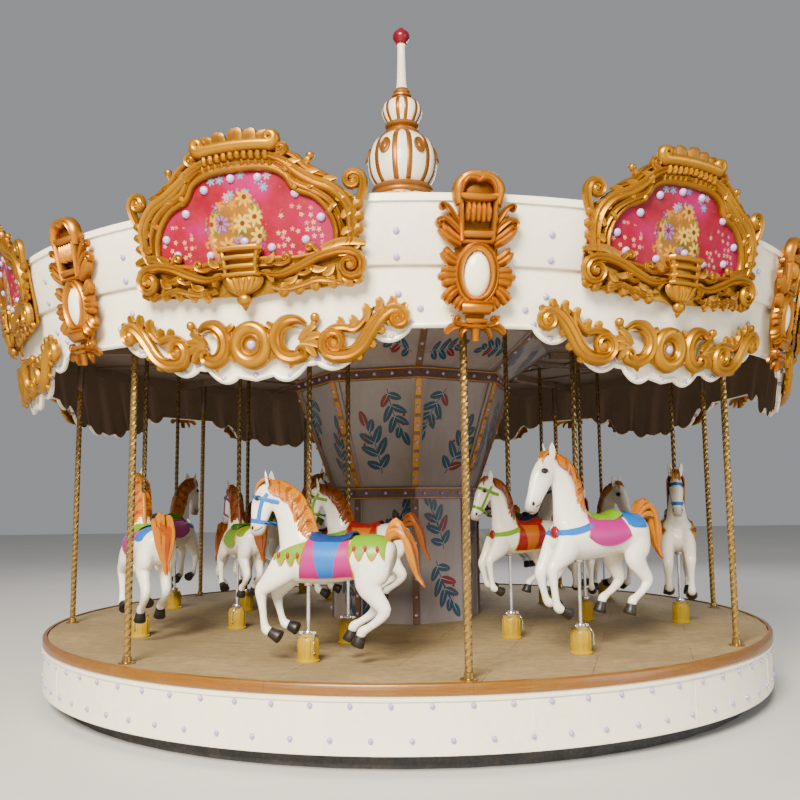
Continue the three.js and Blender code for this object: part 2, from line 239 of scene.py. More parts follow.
def mirroredPoints(half):
    return half + [(-x, z) for x, z in reversed(half[1:-1])]


def addEgg(bm, centre, size, around, along, radius=1.0):
    egg = bmesh.ops.create_uvsphere(bm, u_segments=around, v_segments=along, radius=radius)["verts"]
    bmesh.ops.scale(bm, vec=size, verts=egg)
    bmesh.ops.translate(bm, vec=centre, verts=egg)


def addBall(bm, centre, radius, squash=(1, 1, 1), fine=2):
    if not fine:
        addEgg(bm, centre, squash, 9, 6, radius)
        return
    ball = bmesh.ops.create_icosphere(bm, subdivisions=fine, radius=radius)["verts"]
    bmesh.ops.scale(bm, vec=squash, verts=ball)
    bmesh.ops.translate(bm, vec=centre, verts=ball)


def addOutline(bm, outline, low, high, bevel=0.0, segments=2):
    # A plate from (x, z) points in millimetres, from depth low to high, with rounded front edges
    face = bm.faces.new([bm.verts.new((x / 1000, -low, z / 1000)) for x, z in outline])
    face.normal_update()
    if face.normal.y > 0:
        face.normal_flip()
    grown = bmesh.ops.extrude_face_region(bm, geom=[face])["geom"]
    bmesh.ops.translate(bm, vec=(0, low - high, 0), verts=pick(grown, BMVert))
    face.normal_flip()
    if bevel:
        roundEdges(bm, list({edge for front in pick(grown, BMFace) for edge in front.edges}), bevel, segments)


def plateWithHole(bm, outline, hole, low, high):
    # A flat plate between two closed outlines of (x, z) points, in millimetres
    edges = []
    for ring in (outline, hole):
        verts = [bm.verts.new((x / 1000, -low / 1000, z / 1000)) for x, z in ring]
        edges += [bm.edges.new((verts[i - 1], verts[i])) for i in range(len(verts))]
    filled = bmesh.ops.triangle_fill(bm, edges=edges, use_beauty=True)["geom"]
    grown = bmesh.ops.extrude_face_region(bm, geom=pick(filled, BMFace))["geom"]
    bmesh.ops.translate(bm, vec=(0, (low - high) / 1000, 0), verts=pick(grown, BMVert))


def sliceFine(bm, step):
    # Cuts flat work into upright strips, so that it bends smoothly round the rim
    reach = max(abs(vert.co.x) for vert in bm.verts)
    count = int(reach / step)
    for k in range(-count, count + 1):
        bmesh.ops.bisect_plane(bm, geom=allParts(bm), plane_co=(k * step, 0, 0), plane_no=(1, 0, 0))


def addLathe(bm, profile, segments):
    # Spins (radius, height) points round Z; the first and last lie on the axis or close a ring
    kept = set(bm.verts)
    verts = [bm.verts.new((0, -radius, z)) for radius, z in profile]
    edges = [bm.edges.new(pair) for pair in zip(verts, verts[1:])]
    bmesh.ops.spin(bm, geom=verts + edges, cent=(0, 0, 0), axis=(0, 0, 1), dvec=(0, 0, 0),
                   angle=2 * math.pi, steps=segments, use_merge=True, use_duplicate=False)
    made = [vert for vert in bm.verts if vert not in kept]
    bmesh.ops.remove_doubles(bm, verts=made, dist=0.00002)
    faces = {face for vert in made if vert.is_valid for face in vert.link_faces}
    bmesh.ops.recalc_face_normals(bm, faces=list(faces))


def copiesRound(bm, count, offset=0.0):
    # Repeats everything in the bmesh round the axis
    whole = allParts(bm)
    for k in range(1, count):
        copied = bmesh.ops.duplicate(bm, geom=whole)["geom"]
        spinVerts(bm, k * 2 * math.pi / count, pick(copied, BMVert))
    if offset:
        spinVerts(bm, offset, bm.verts[:])


def addBar(bm, start, end, wide, high, up=(0, 0, 1), bevel=0.004):
    # A straight bar with rounded edges between two points
    start, end = Vector(start), Vector(end)
    along = (end - start).normalized()
    across = Vector(up).cross(along).normalized()
    bar = bmesh.ops.create_cube(bm, size=1)["verts"]
    place = Matrix((across * wide, along.cross(across) * high,
                    along * (end - start).length)).transposed().to_4x4()
    place.translation = (start + end) / 2
    bmesh.ops.transform(bm, matrix=place, verts=bar)
    roundEdges(bm, list({edge for vert in bar for edge in vert.link_edges}), bevel, 1)


print("helpers ready")


# Node trees, and the groups that the finishes share
class Recipe:
    # A node tree under construction
    def __init__(self, tree):
        self.tree = tree

    def feed(self, socket, value):
        # Links an output, or sets a number or colour on the socket itself
        if isinstance(value, bpy.types.NodeSocket):
            self.tree.links.new(value, socket)
        else:
            socket.default_value = (*value, 1) if socket.type == "RGBA" and len(value) == 3 else value

    def add(self, kind, values=None, **settings):
        node = self.tree.nodes.new("ShaderNode" + kind)
        for key, value in settings.items():
            setattr(node, key, value)
        for key, value in (values or {}).items():
            self.feed(node.inputs[key], value)
        return node

    def math(self, operation, first, second=None, clamp=False):
        values = {0: first} if second is None else {0: first, 1: second}
        return self.add("Math", values, operation=operation, use_clamp=clamp).outputs[0]

    def times(self, first, second, clamp=False):
        return self.math("MULTIPLY", first, second, clamp)

    def plus(self, first, second):
        return self.math("ADD", first, second)

    def minus(self, first, second):
        return self.math("SUBTRACT", first, second)

    def mix(self, share, first, second):
        return self.add("Mix", {0: share, 6: first, 7: second}, data_type="RGBA").outputs[2]

    def ramp(self, share, stops):
        node = self.add("ValToRGB", {0: share})
        elements = node.color_ramp.elements
        while len(elements) < len(stops):
            elements.new(0.5)
        for element, (place, color) in zip(elements, stops):
            element.position = place
            element.color = (*color, 1)
        return node.outputs[0]

    def between(self, share, low, high):
        return self.add("MapRange", {"Value": share, "To Min": low, "To Max": high}).outputs["Result"]

    def place(self):
        return self.add("TexCoord").outputs["Object"]

    def split(self, vector):
        return self.add("SeparateXYZ", {0: vector}).outputs

    def noise(self, scale, detail=4.0, rough=0.55, stretch=None):
        where = self.place()
        if stretch:
            where = self.add("Mapping", {"Vector": where, "Scale": stretch}).outputs[0]
        values = {"Vector": where, "Scale": scale, "Detail": detail, "Roughness": rough}
        return self.add("TexNoise", values).outputs["Fac"]


def newGroup(name, inputs, outputs):
    group = bpy.data.node_groups.new(name, "ShaderNodeTree")
    for label, value in inputs.items():
        socket = group.interface.new_socket(name=label, in_out="INPUT", socket_type="NodeSocketFloat")
        socket.default_value = value
    for label in outputs:
        group.interface.new_socket(name=label, in_out="OUTPUT", socket_type="NodeSocketFloat")
    entry, leave = group.nodes.new("NodeGroupInput"), group.nodes.new("NodeGroupOutput")
    return group, Recipe(group), entry.outputs, leave.inputs


def makeGrimeGroup():
    # Soft blotches and fine specks of dust; Mask is 0 where the surface is clean
    group, recipe, given, result = newGroup("grime", {"Scale": 3.0, "Amount": 0.5}, ["Mask"])
    blotch = recipe.noise(recipe.times(given["Scale"], 1.0), 6.0, 0.62)
    speck = recipe.noise(recipe.times(given["Scale"], 9.0), 4.0, 0.7)
    spread = recipe.times(recipe.minus(recipe.times(blotch, speck), 0.2), 5.0, clamp=True)
    recipe.feed(result["Mask"], recipe.times(spread, given["Amount"], clamp=True))
    return group


def makeStreakGroup():
    # Upright rain streaks on outdoor paint
    group, recipe, given, result = newGroup("streaks", {"Scale": 8.0, "Amount": 0.5}, ["Mask"])
    streaks = recipe.noise(given["Scale"], 5.0, 0.65, (1.0, 1.0, 0.07))
    spread = recipe.times(recipe.minus(streaks, 0.48), 6.0, clamp=True)
    recipe.feed(result["Mask"], recipe.times(spread, given["Amount"], clamp=True))
    return group


def makeWearAndPaintedLightGroup():
    # Rounded edges catch wear and painted highlights, and hollow parts get painted shade, both from how the
    # surface curves
    group, recipe, given, result = newGroup("edgeWearAndPaintedLight", {"Width": 6.0, "Breakup": 40.0}, ["Edge", "Hollow"])
    breakup = recipe.noise(given["Breakup"], 3.0, 0.5)
    bend = recipe.minus(recipe.add("NewGeometry").outputs["Pointiness"], 0.5)
    edge = recipe.times(recipe.times(bend, given["Width"]), recipe.plus(breakup, 0.4), clamp=True)
    recipe.feed(result["Edge"], edge)
    recipe.feed(result["Hollow"], recipe.times(recipe.times(bend, -1.0), given["Width"], clamp=True))
    return group


grimeGroup = makeGrimeGroup()
streakGroup = makeStreakGroup()
wearAndPaintedLightGroup = makeWearAndPaintedLightGroup()


def shaded(color, factor, extra=0.0):
    return tuple(min(1, part * factor + extra) for part in color)


class Finish(Recipe):
    # A material under construction, with the steps that most finishes need
    def __init__(self, name, roughness, metallic=0.0, coat=0.0, specular=0.5):
        self.material = bpy.data.materials.new(name)
        self.material.use_nodes = True
        super().__init__(self.material.node_tree)
        self.shader = self.tree.nodes["Principled BSDF"].inputs
        for key, value in (("Roughness", roughness), ("Metallic", metallic), ("Coat Weight", coat),
                           ("Coat Roughness", 0.12), ("Specular IOR Level", specular)):
            self.shader[key].default_value = value

    def group(self, group, output=0, **values):
        return self.add("Group", values, node_tree=group).outputs[output]

    def attribute(self, name):
        return self.add("Attribute", attribute_name=name).outputs["Fac"]

    def mottle(self, scale, detail, first, second, low=0.0, high=1.0):
        return self.mix(self.between(self.noise(scale, detail), low, high), first, second)

    def shadeHollows(self, tone, width, color):
        # Darkens the hollow parts as painted shade
        return self.mix(self.group(wearAndPaintedLightGroup, 1, Width=width), tone, color)

    def edges(self, tone, width, color):
        # Colours the rounded edges: wear on metal paint, a painted highlight on gilt and hair
        return self.mix(self.group(wearAndPaintedLightGroup, 0, Width=width), tone, color)

    def dust(self, tone, scale, amount, dirt, rough=None):
        # Where rough is given, the dirty parts are rougher
        mask = self.group(grimeGroup, Scale=scale, Amount=amount)
        if rough:
            self.roughness(mask, *rough)
        return self.mix(mask, tone, dirt)

    def streaks(self, tone, scale, amount, color):
        return self.mix(self.group(streakGroup, Scale=scale, Amount=amount), tone, color)

    def roughness(self, share, low, high):
        self.feed(self.shader["Roughness"], self.between(share, low, high))

    def bump(self, height, strength, distance):
        node = self.add("Bump", {"Height": height, "Strength": strength, "Distance": distance})
        self.feed(self.shader["Normal"], node.outputs["Normal"])

    def complete(self, tone, rough=None, grain=None):
        # rough is a noise's scale and both ends; grain a noise's scale and detail, then strength and depth
        self.feed(self.shader["Base Color"], tone)
        if rough:
            self.roughness(self.noise(rough[0]), *rough[1:])
        if grain:
            self.bump(self.noise(*grain[:2]), *grain[2:])
        return self.material


def makeGloss(name, base, shade, roughness=0.28, coat=0.35, grime=0.25, dirt=(0.22, 0.17, 0.12), scale=4.0,
              airbrushed=None):
    # Sprayed and lacquered paint with painted shade in its hollow parts, and a second colour where the
    # airbrush attribute is high
    finish = Finish(name, roughness, coat=coat, specular=0.35)
    tone = finish.shadeHollows(finish.mottle(scale, 5.0, base, shade), 5.0, shaded(shade, 0.45))
    tone = finish.dust(tone, scale, grime, dirt, (roughness, min(1.0, roughness + 0.35)))
    if airbrushed:
        tone = finish.mix(finish.times(finish.attribute("airbrush"), 0.8), tone, airbrushed)
    return finish.complete(tone, grain=(scale * 14, 3.0, 0.06, 0.002))


def gloss(name, base, roughness=0.36):
    return makeGloss(name, base, shaded(base, 0.72), roughness, 0.05, 0.12, (0.20, 0.14, 0.07), 8.0)


def makeGilt(name, bright, deep, recess, roughness=0.36, metallic=0.8):
    # Gold paint with painted shade that deepens towards the board behind and in hollow parts, and a painted
    # highlight on the tops and rounded edges; relief is the height above the board behind
    finish = Finish(name, roughness, metallic=metallic, coat=0.06)
    lift = finish.between(finish.attribute("relief"), 0.0, 1.0)
    base = finish.ramp(lift, [(0.16, recess), (0.5, deep), (0.92, bright), (1.0, shaded(bright, 1.2))])
    tone = finish.shadeHollows(finish.mottle(9.0, 6.0, base, deep, 0.0, 0.35), 7.0, recess)
    tone = finish.edges(tone, 5.0, shaded(bright, 1.25))
    tone = finish.dust(tone, 6.0, 0.22, (0.16, 0.1, 0.05), (roughness, roughness + 0.3))
    return finish.complete(tone, grain=(55.0, 4.0, 0.12, 0.002))


def makeWhiteBoard(name, base=(0.92, 0.85, 0.64)):
    # White moulded panel, yellowed a little, with rain streaks
    finish = Finish(name, 0.32, coat=0.25)
    tone = finish.streaks(finish.mottle(1.6, 5.0, base, (0.92, 0.87, 0.70)), 7.0, 0.2, (0.76, 0.71, 0.54))
    tone = finish.dust(tone, 2.5, 0.3, (0.66, 0.60, 0.45))
    return finish.complete(tone, (12.0, 0.24, 0.5), (5.0, 4.0, 0.08, 0.01))


def makeBrass(name):
    finish = Finish(name, 0.28, metallic=0.85)
    tone = finish.mottle(5.0, 6.0, (0.47, 0.295, 0.09), (0.31, 0.185, 0.05))
    # Hollow parts are darkened as painted shade
    tone = finish.shadeHollows(tone, 8.0, (0.12, 0.075, 0.03))
    return finish.complete(finish.dust(tone, 7.0, 0.5, (0.16, 0.10, 0.045), (0.22, 0.6)),
                           grain=(90.0, 3.0, 0.08, 0.001))


def makePearl(name):
    # Milky bulb covers with a lilac cast
    finish = Finish(name, 0.12, coat=0.7)
    tone = finish.mottle(30.0, 4.0, (0.50, 0.41, 0.66), (0.35, 0.27, 0.53))
    finish.shader["Subsurface Weight"].default_value = 0.12
    finish.shader["Subsurface Radius"].default_value = (0.02, 0.015, 0.02)
    return finish.complete(finish.dust(tone, 20.0, 0.25, (0.24, 0.19, 0.22)), (60.0, 0.06, 0.2))


def makeMetalPaint(name, base, roughness=0.5, metallic=0.3, amount=0.4):
    finish = Finish(name, roughness, metallic=metallic)
    tone = finish.edges(finish.mottle(6.0, 5.0, base, shaded(base, 0.6)), 5.0, shaded(base, 1.9, 0.05))
    tone = finish.dust(tone, 5.0, amount, (0.24, 0.20, 0.15), (roughness, min(1.0, roughness + 0.3)))
    return finish.complete(tone, grain=(120.0, 2.0, 0.08, 0.001))


print("finish groups ready")


# Camera, floor and light
stage = {
    "lens": 38.78,
    "cameraPlace": (-0.991, -8.140, 1.542),
    "heading": -6.94 + 0.307,
    "pitch": 6.752,
    "roll": 0.516,
    "keyPower": 7200,
    "fillPower": 500,
    "rimPower": 900,
    "skyStrength": 0.38,
}


def makeCamera():
    data = bpy.data.cameras.new("photoCamera")
    data.lens = stage["lens"]
    data.sensor_width = 36
    camera = bpy.data.objects.new("photoCamera", data)
    turn = (Matrix.Rotation(math.radians(stage["heading"]), 4, "Z")
            @ Matrix.Rotation(math.radians(90 + stage["pitch"]), 4, "X")
            @ Matrix.Rotation(math.radians(-stage["roll"]), 4, "Z"))
    camera.matrix_world = Matrix.Translation(stage["cameraPlace"]) @ turn
    bpy.context.scene.collection.objects.link(camera)
    bpy.context.scene.camera = camera


def makeFloor():
    bm = bmesh.new()
    bmesh.ops.create_grid(bm, x_segments=2, y_segments=2, size=40)
    mesh = toMesh("floor", bm)
    floor = bpy.data.objects.new("floor", mesh)
    bpy.context.scene.collection.objects.link(floor)
    finish = Finish("paleFloor", 0.85)
    mesh.materials.append(finish.complete(finish.mottle(0.7, 4.0, (0.52, 0.51, 0.49), (0.60, 0.59, 0.57))))


def addLight(name, place, target, size, power, color):
    data = bpy.data.lights.new(name, "AREA")
    data.shape = "DISK"
    data.size = size
    data.energy = power
    data.color = color
    light = bpy.data.objects.new(name, data)
    aim = (Vector(target) - Vector(place)).to_track_quat("-Z", "Y")
    light.matrix_world = Matrix.Translation(place) @ aim.to_matrix().to_4x4()
    bpy.context.scene.collection.objects.link(light)


def makeLight():
    addLight("keyLight", (-5, -13, 9), (0, 0, 2.2), 6, stage["keyPower"], (1.0, 0.93, 0.80))
    addLight("fillLight", (10, -9, 4), (0, 0, 1.8), 7, stage["fillPower"], (0.97, 0.97, 1.0))
    addLight("rimLight", (3, 11, 8), (0, 0, 3), 6, stage["rimPower"], (1.0, 0.97, 0.92))
    world = bpy.data.worlds.new("studio")
    world.use_nodes = True
    bpy.context.scene.world = world
    background = world.node_tree.nodes["Background"]
    background.inputs["Color"].default_value = (0.80, 0.82, 0.86, 1)
    background.inputs["Strength"].default_value = stage["skyStrength"]


makeCamera()
makeFloor()
makeLight()
print("camera, floor and light ready")


# Finishes of the canopy
whiteBoard = makeWhiteBoard("whiteBoard")
pearl = makePearl("pearlBulb")
# Gilt colours: lit gold, painted shade on the sides, and near-black painted shade in the recesses
gilt = makeGilt("gilt", (0.43, 0.192, 0.0), (0.155, 0.046, 0.0), (0.012, 0.0025, 0.0))
copperGilt = makeGilt("copperGilt", (0.44, 0.165, 0.003), (0.17, 0.041, 0.0), (0.014, 0.0025, 0.0))
boardBack = makeMetalPaint("boardBack", (0.14, 0.085, 0.05), roughness=0.6, metallic=0.0)


# Ornament work: flat relief that is bent round the boards and repeated for each bay
def reliefLayer(bm, full):
    # Height above the board behind, from 0 to 1; the gilt paints shade where it is low and a highlight where
    # it is high
    layer = bm.verts.layers.float.new("relief")
    for vert in bm.verts:
        vert[layer] = min(1.0, max(0.0, -vert.co.y / full))


def bulbsAt(bm, places, radius, materialIndex, fine=2):
    kept = set(bm.faces)
    for x, z, depth in places:
        addBall(bm, Vector((x, -depth, z)) / 1000, radius / 1000, squash=(1, 0.8, 1), fine=fine)
    paintNew(bm, kept, materialIndex)


def scroll(bm, points, width, height, endCurl=None, startCurl=None, kind="grooved", segments=10,
           ends=(0.35, 0.35)):
    # A stem that may wind up in a volute at either end; a curl is (radius, turns, side)
    route = smoothRoute(flat(*points))
    core = len(route)
    centres = []
    if startCurl:
        route.reverse()
        centres.append(addCurl(route, startCurl[0] / 1000, startCurl[1], startCurl[2], rise=0.012))
        route.reverse()
    before = len(route) - core
    if endCurl:
        centres.append(addCurl(route, endCurl[0] / 1000, endCurl[1], endCurl[2], rise=0.012))
    after = len(route) - core - before
    low, high = (1 if startCurl else ends[0]), (1 if endCurl else ends[1])
    shares = []
    for i in range(len(route)):
        inner = (i - before) / (core - 1)
        if i < before:
            share = 0.38 + 0.62 * i / before
        elif i >= len(route) - after:
            share = 0.38 + 0.62 * (len(route) - 1 - i) / after
        elif inner < 0.5:
            share = low + (1 - low) * min(1, inner * 3.2)
        else:
            share = high + (1 - high) * min(1, (1 - inner) * 3.2)
        shares.append(share)
    sweep(bm, route, [width / 1000 * share for share in shares],
          [height / 1000 * (0.45 + 0.55 * share) for share in shares], kind, segments)
    for centre, curl in zip(centres, [curl for curl in (startCurl, endCurl) if curl]):
        addBall(bm, centre + Vector((0, -height / 2500, 0)), curl[0] * 0.34 / 1000, squash=(1, 0.8, 1),
                fine=1)


pointedLeaf = [0.42, 0.72, 0.93, 1.0, 0.97, 0.86, 0.66, 0.4, 0.1]
bluntLeaf = [0.75, 0.88, 0.96, 1.0, 1.0, 1.0, 0.96, 0.84, 0.5]


def leaf(bm, base, tip, width, height, bend=0.0, lift=0.0, segments=8, kind="grooved", swell=pointedLeaf):
    # A leaf from base to tip that swells, bends sideways and turns up at its tip
    start, end = flat(base, tip)
    along = end - start
    side = Vector((-along.z, 0, along.x)) * bend
    route = []
    for i in range(9):
        share = i / 8
        point = start + along * share + side * math.sin(share * math.pi)
        point.y -= lift / 1000 * share * share
        route.append(point)
    sweep(bm, route, [width / 1000 * share for share in swell],
          [height / 1000 * (0.35 + 0.65 * share) for share in swell], kind, segments)


def roundLeaf(*place, **shape):
    leaf(*place, swell=bluntLeaf, **shape)


def eachBay(name, bm, materials, nodeName, offset, sharpAngle=40):
    # Gives each bay its own copy as a piece
    mesh = toMesh(name, bm)
    for bay in bays:
        copy = mesh.copy()
        copy.transform(turnZ((bay + offset) * bayAngle))
        nodes = [f"{nodeName}_{bay + 1}"] if nodeName else []
        finishMesh(f"{name}_{bay + 1}", copy, materials, nodes, sharpAngle=sharpAngle)
    bpy.data.meshes.remove(mesh)


def bayCopies(name, bm, materials, nodeName, sizes, offset=0.5):
    # Bends the finished flat work round the rim, for every bay
    turnOutwards(bm)
    reliefLayer(bm, sizes["reliefDepth"])
    bendRound(bm, sizes["standOff"])
    eachBay(name, bm, materials, nodeName, offset)


# Gilded picture frames
crest = {
    "standOff": 0.044,
    "plateDepth": 18,
    "reliefDepth": 0.085,
    "outline": [(0, 3610), (190, 3600), (260, 3530), (345, 3480), (440, 3400), (560, 3335), (650, 3260),
                (668, 3070), (690, 2960), (690, 2820), (560, 2775), (330, 2755), (90, 2745), (0, 2720)],
    "opening": [(0, 3450), (180, 3438), (275, 3392), (330, 3312), (440, 3262), (520, 3170), (552, 3060),
                (520, 2972), (340, 2930), (180, 2935), (0, 2932)],
    "bulbs": [(-40, 3405), (120, 3395), (330, 3290), (-210, 3360), (-340, 3240), (-490, 3110), (-420, 3010),
              (-200, 2985), (20, 3045), (180, 3000), (380, 3030), (470, 3150)],
    "bulbRadius": 25,
}


def crestHalf(bm):
    # Broad ribbed leaf from the crest over the shoulder and down the side
    scroll(bm, [(196, 3506, 34), (282, 3462, 42), (356, 3396, 46), (440, 3342, 46), (548, 3292, 44),
                (622, 3206, 42), (640, 3110, 40), (628, 3010, 38), (590, 2950, 34)], 37, 46,
           ends=(0.6, 0.4), segments=12)
    scroll(bm, [(226, 3462, 32), (292, 3412, 38), (338, 3344, 40), (432, 3296, 40), (528, 3228, 38),
                (580, 3130, 36), (584, 3030, 32)], 23, 38, ends=(0.4, 0.3))
    scroll(bm, [(262, 3528, 30), (338, 3490, 36), (402, 3424, 36), (486, 3380, 34), (560, 3352, 30)], 24,
           34, ends=(0.5, 0.2))
    scroll(bm, [(300, 3400, 46), (372, 3352, 50), (470, 3312, 50), (552, 3248, 46), (600, 3160, 42)], 11,
           22, ends=(0.2, 0.2))
    # Corner volute that rises from the side
    scroll(bm, [(664, 3190, 34), (692, 3245, 38), (708, 3300, 42), (709, 3335, 44)], 27, 36,
           endCurl=(55, 1.45, 1), ends=(0.4, 1))
    # Small round leaves down the side
    for z, reach in ((3196, 706), (3130, 712), (3064, 706)):
        roundLeaf(bm, (640, z - 30, 34), (reach, z + 12, 26), 30, 38, bend=0.22, lift=12, kind="relief")
    roundLeaf(bm, (372, 3440, 36), (418, 3478, 32), 20, 30, bend=-0.2, lift=10)
    roundLeaf(bm, (262, 3500, 36), (300, 3560, 30), 24, 30, bend=0.3, lift=10)
    addBall(bm, Vector((0.426, -0.038, 3.486)), 0.024, fine=2)
    addBall(bm, Vector((0.338, -0.062, 3.316)), 0.019, fine=1)
    leaf(bm, (372, 3372, 44), (338, 3318, 52), 15, 22)
    # Fronds that cross the strands of the arch, outwards and inwards
    for x, z, tipX, tipZ, wide, bend in (
            (296, 3404, 376, 3458, 27, 0.22), (388, 3338, 474, 3396, 29, 0.22),
            (484, 3296, 572, 3348, 29, 0.22), (566, 3222, 652, 3252, 28, 0.24),
            (592, 3126, 674, 3158, 27, 0.24), (588, 3034, 662, 3056, 25, 0.24),
            (452, 3318, 406, 3284, 18, -0.2), (566, 3206, 528, 3162, 18, -0.2)):
        leaf(bm, (x, z, 60), (tipX, tipZ, 46), wide, 26, bend=bend, lift=8)
    # Lower rail: long wave from the urn that ends in the big corner volute
    scroll(bm, [(112, 2858, 40), (220, 2840, 42), (330, 2872, 44), (450, 2925, 44), (560, 2950, 44),
                (632, 2948, 44)], 29, 44, endCurl=(78, 1.55, -1), ends=(0.5, 1), segments=12)
    roundLeaf(bm, (470, 2968, 38), (716, 2990, 30), 30, 38, bend=0.10, lift=14)
    leaf(bm, (540, 2935, 48), (690, 2985, 46), 20, 28, bend=-0.12, lift=8)
    # Small volutes on the rail and inside the opening
    scroll(bm, [(520, 2918, 46), (470, 2945, 48), (440, 2966, 50), (424, 2990, 50)], 16, 22,
           endCurl=(22, 1.2, 1), ends=(0.3, 1))
    scroll(bm, [(180, 2905, 42), (235, 2895, 44), (275, 2905, 46)], 16, 24, endCurl=(26, 1.3, 1),
           ends=(0.3, 1))
    scroll(bm, [(300, 2850, 40), (360, 2835, 42), (400, 2850, 44)], 17, 24, endCurl=(25, 1.3, 1),
           ends=(0.3, 1))
    # Lower wave with leaf lobes that make the ragged lower edge
    scroll(bm, [(600, 2772, 34), (520, 2790, 38), (440, 2800, 38), (350, 2776, 38), (260, 2760, 38),
                (170, 2776, 36)], 22, 30, ends=(0.5, 0.5))
    for x, z, tipX, tipZ in ((250, 2796, 214, 2728), (335, 2806, 306, 2737), (420, 2818, 406, 2748),
                             (505, 2822, 514, 2754), (590, 2814, 616, 2756), (640, 2806, 684, 2778)):
        roundLeaf(bm, (x, z, 34), (tipX, tipZ, 28), 32, 36, bend=0.18, lift=8)
    for x, z, tipX, tipZ in ((180, 2800, 120, 2872), (470, 2830, 540, 2880), (250, 2800, 330, 2835),
                             (400, 2880, 500, 2868), (140, 2915, 200, 2972)):
        leaf(bm, (x, z, 40), (tipX, tipZ, 36), 27, 34, bend=-0.2, lift=10)
    # Crest: roll with a volute at its end, waves above it and drops below it
    scroll(bm, [(0, 3574, 44), (76, 3572, 44), (150, 3568, 44), (206, 3562, 44)], 36, 46,
           endCurl=(34, 1.25, 1), kind="relief", ends=(1, 1), segments=12)
    scroll(bm, [(0, 3600, 52), (76, 3598, 52), (150, 3594, 52), (212, 3588, 50)], 8, 16, kind="relief",
           ends=(1, 1))
    scroll(bm, [(214, 3500, 36), (248, 3498, 38), (278, 3508, 38)], 22, 32, endCurl=(28, 1.2, 1),
           ends=(0.6, 1))
    for x, tipX, tipZ, wide in ((66, 86, 3664, 46), (142, 164, 3648, 44), (206, 232, 3620, 36)):
        roundLeaf(bm, (x, 3584, 34), (tipX, tipZ, 30), wide, 36, bend=-0.16, lift=6, kind="cupped",
                  segments=12)
    for k in range(5):
        x = 20 + k * 40
        roundLeaf(bm, (x, 3540 - k * 3, 46), (x, 3500 - k * 5, 48), 19, 30, kind="relief")
        roundLeaf(bm, (x + 20, 3500 - k * 4, 32), (x + 21, 3462 - k * 7, 30), 15, 26, kind="relief")


def crestMiddle(bm):
    roundLeaf(bm, (-8, 3584, 34), (8, 3676, 30), 48, 36, bend=-0.1, lift=6, kind="cupped", segments=12)
    # Band behind the drops, and the arch over the opening
    band = flat((-262, 3492, 22), (-130, 3512, 24), (0, 3518, 24), (130, 3512, 24), (262, 3492, 22))
    sweep(bm, smoothRoute(band), 0.036, 0.016, "relief", 10)
    # Square urn with three bars and two slots between them, over a ribbed bowl and a drop
    urn = [(0, 3012), (104, 3012), (124, 3000), (128, 2978), (112, 2962), (102, 2900), (108, 2862),
           (92, 2842), (0, 2842)]
    addOutline(bm, mirroredPoints(urn), 0.030, 0.064, bevel=0.005)
    for z, reach, half in ((2996, 122, 17), (2944, 98, 14), (2892, 92, 14), (2848, 104, 13)):
        bar = flat((-reach, z, 66), (-reach * 0.92, z, 84), (0, z, 92), (reach * 0.92, z, 84), (reach, z, 66))
        sweep(bm, bar, half / 1000, 0.020, "relief", 10)
    for side in (-1, 1):
        post = flat((side * 110, 2996, 66), (side * 98, 2948, 76), (side * 90, 2890, 78),
                    (side * 94, 2846, 68))
        sweep(bm, post, 0.013, 0.018, "relief", 8)
    bowl = flat((0, 2846, 46), (0, 2830, 48), (0, 2800, 48), (0, 2774, 46), (0, 2756, 42), (0, 2744, 38))
    sweep(bm, bowl, [0.118, 0.128, 0.122, 0.100, 0.066, 0.036], [0.030, 0.038, 0.040, 0.036, 0.030, 0.026],
          "relief", 16)
    for k in range(-2, 3):
        roundLeaf(bm, (k * 40, 2832, 78), (k * 19, 2752, 62), 17, 22, kind="relief")
    addBall(bm, Vector((0, -0.046, 2.712)), 0.042, squash=(1.1, 0.8, 0.85), fine=2)
    leaf(bm, (0, 2710, 42), (0, 2652, 34), 22, 22, kind="relief")
    # Mouldings along the opening
    inner = [(x, z, 30) for x, z in crest["opening"]]
    sweep(bm, loopRoute(inner), 0.018, 0.032, "relief", 10)
    outer = [(x * 1.07, 3190 + (z - 3190) * 1.10, 26) for x, z in crest["opening"]]
    sweep(bm, loopRoute(outer), 0.024, 0.030, "grooved", 10)


def makeCrestFrames():
    bm = bmesh.new()
    crestHalf(bm)
    mirrorFlat(bm)
    crestMiddle(bm)
    plateWithHole(bm, mirroredPoints(crest["outline"]), mirroredPoints(crest["opening"]), 0,
                  crest["plateDepth"])
    bayCopies("crest_frame_gilding", bm, [gilt], "crest_frame", crest)


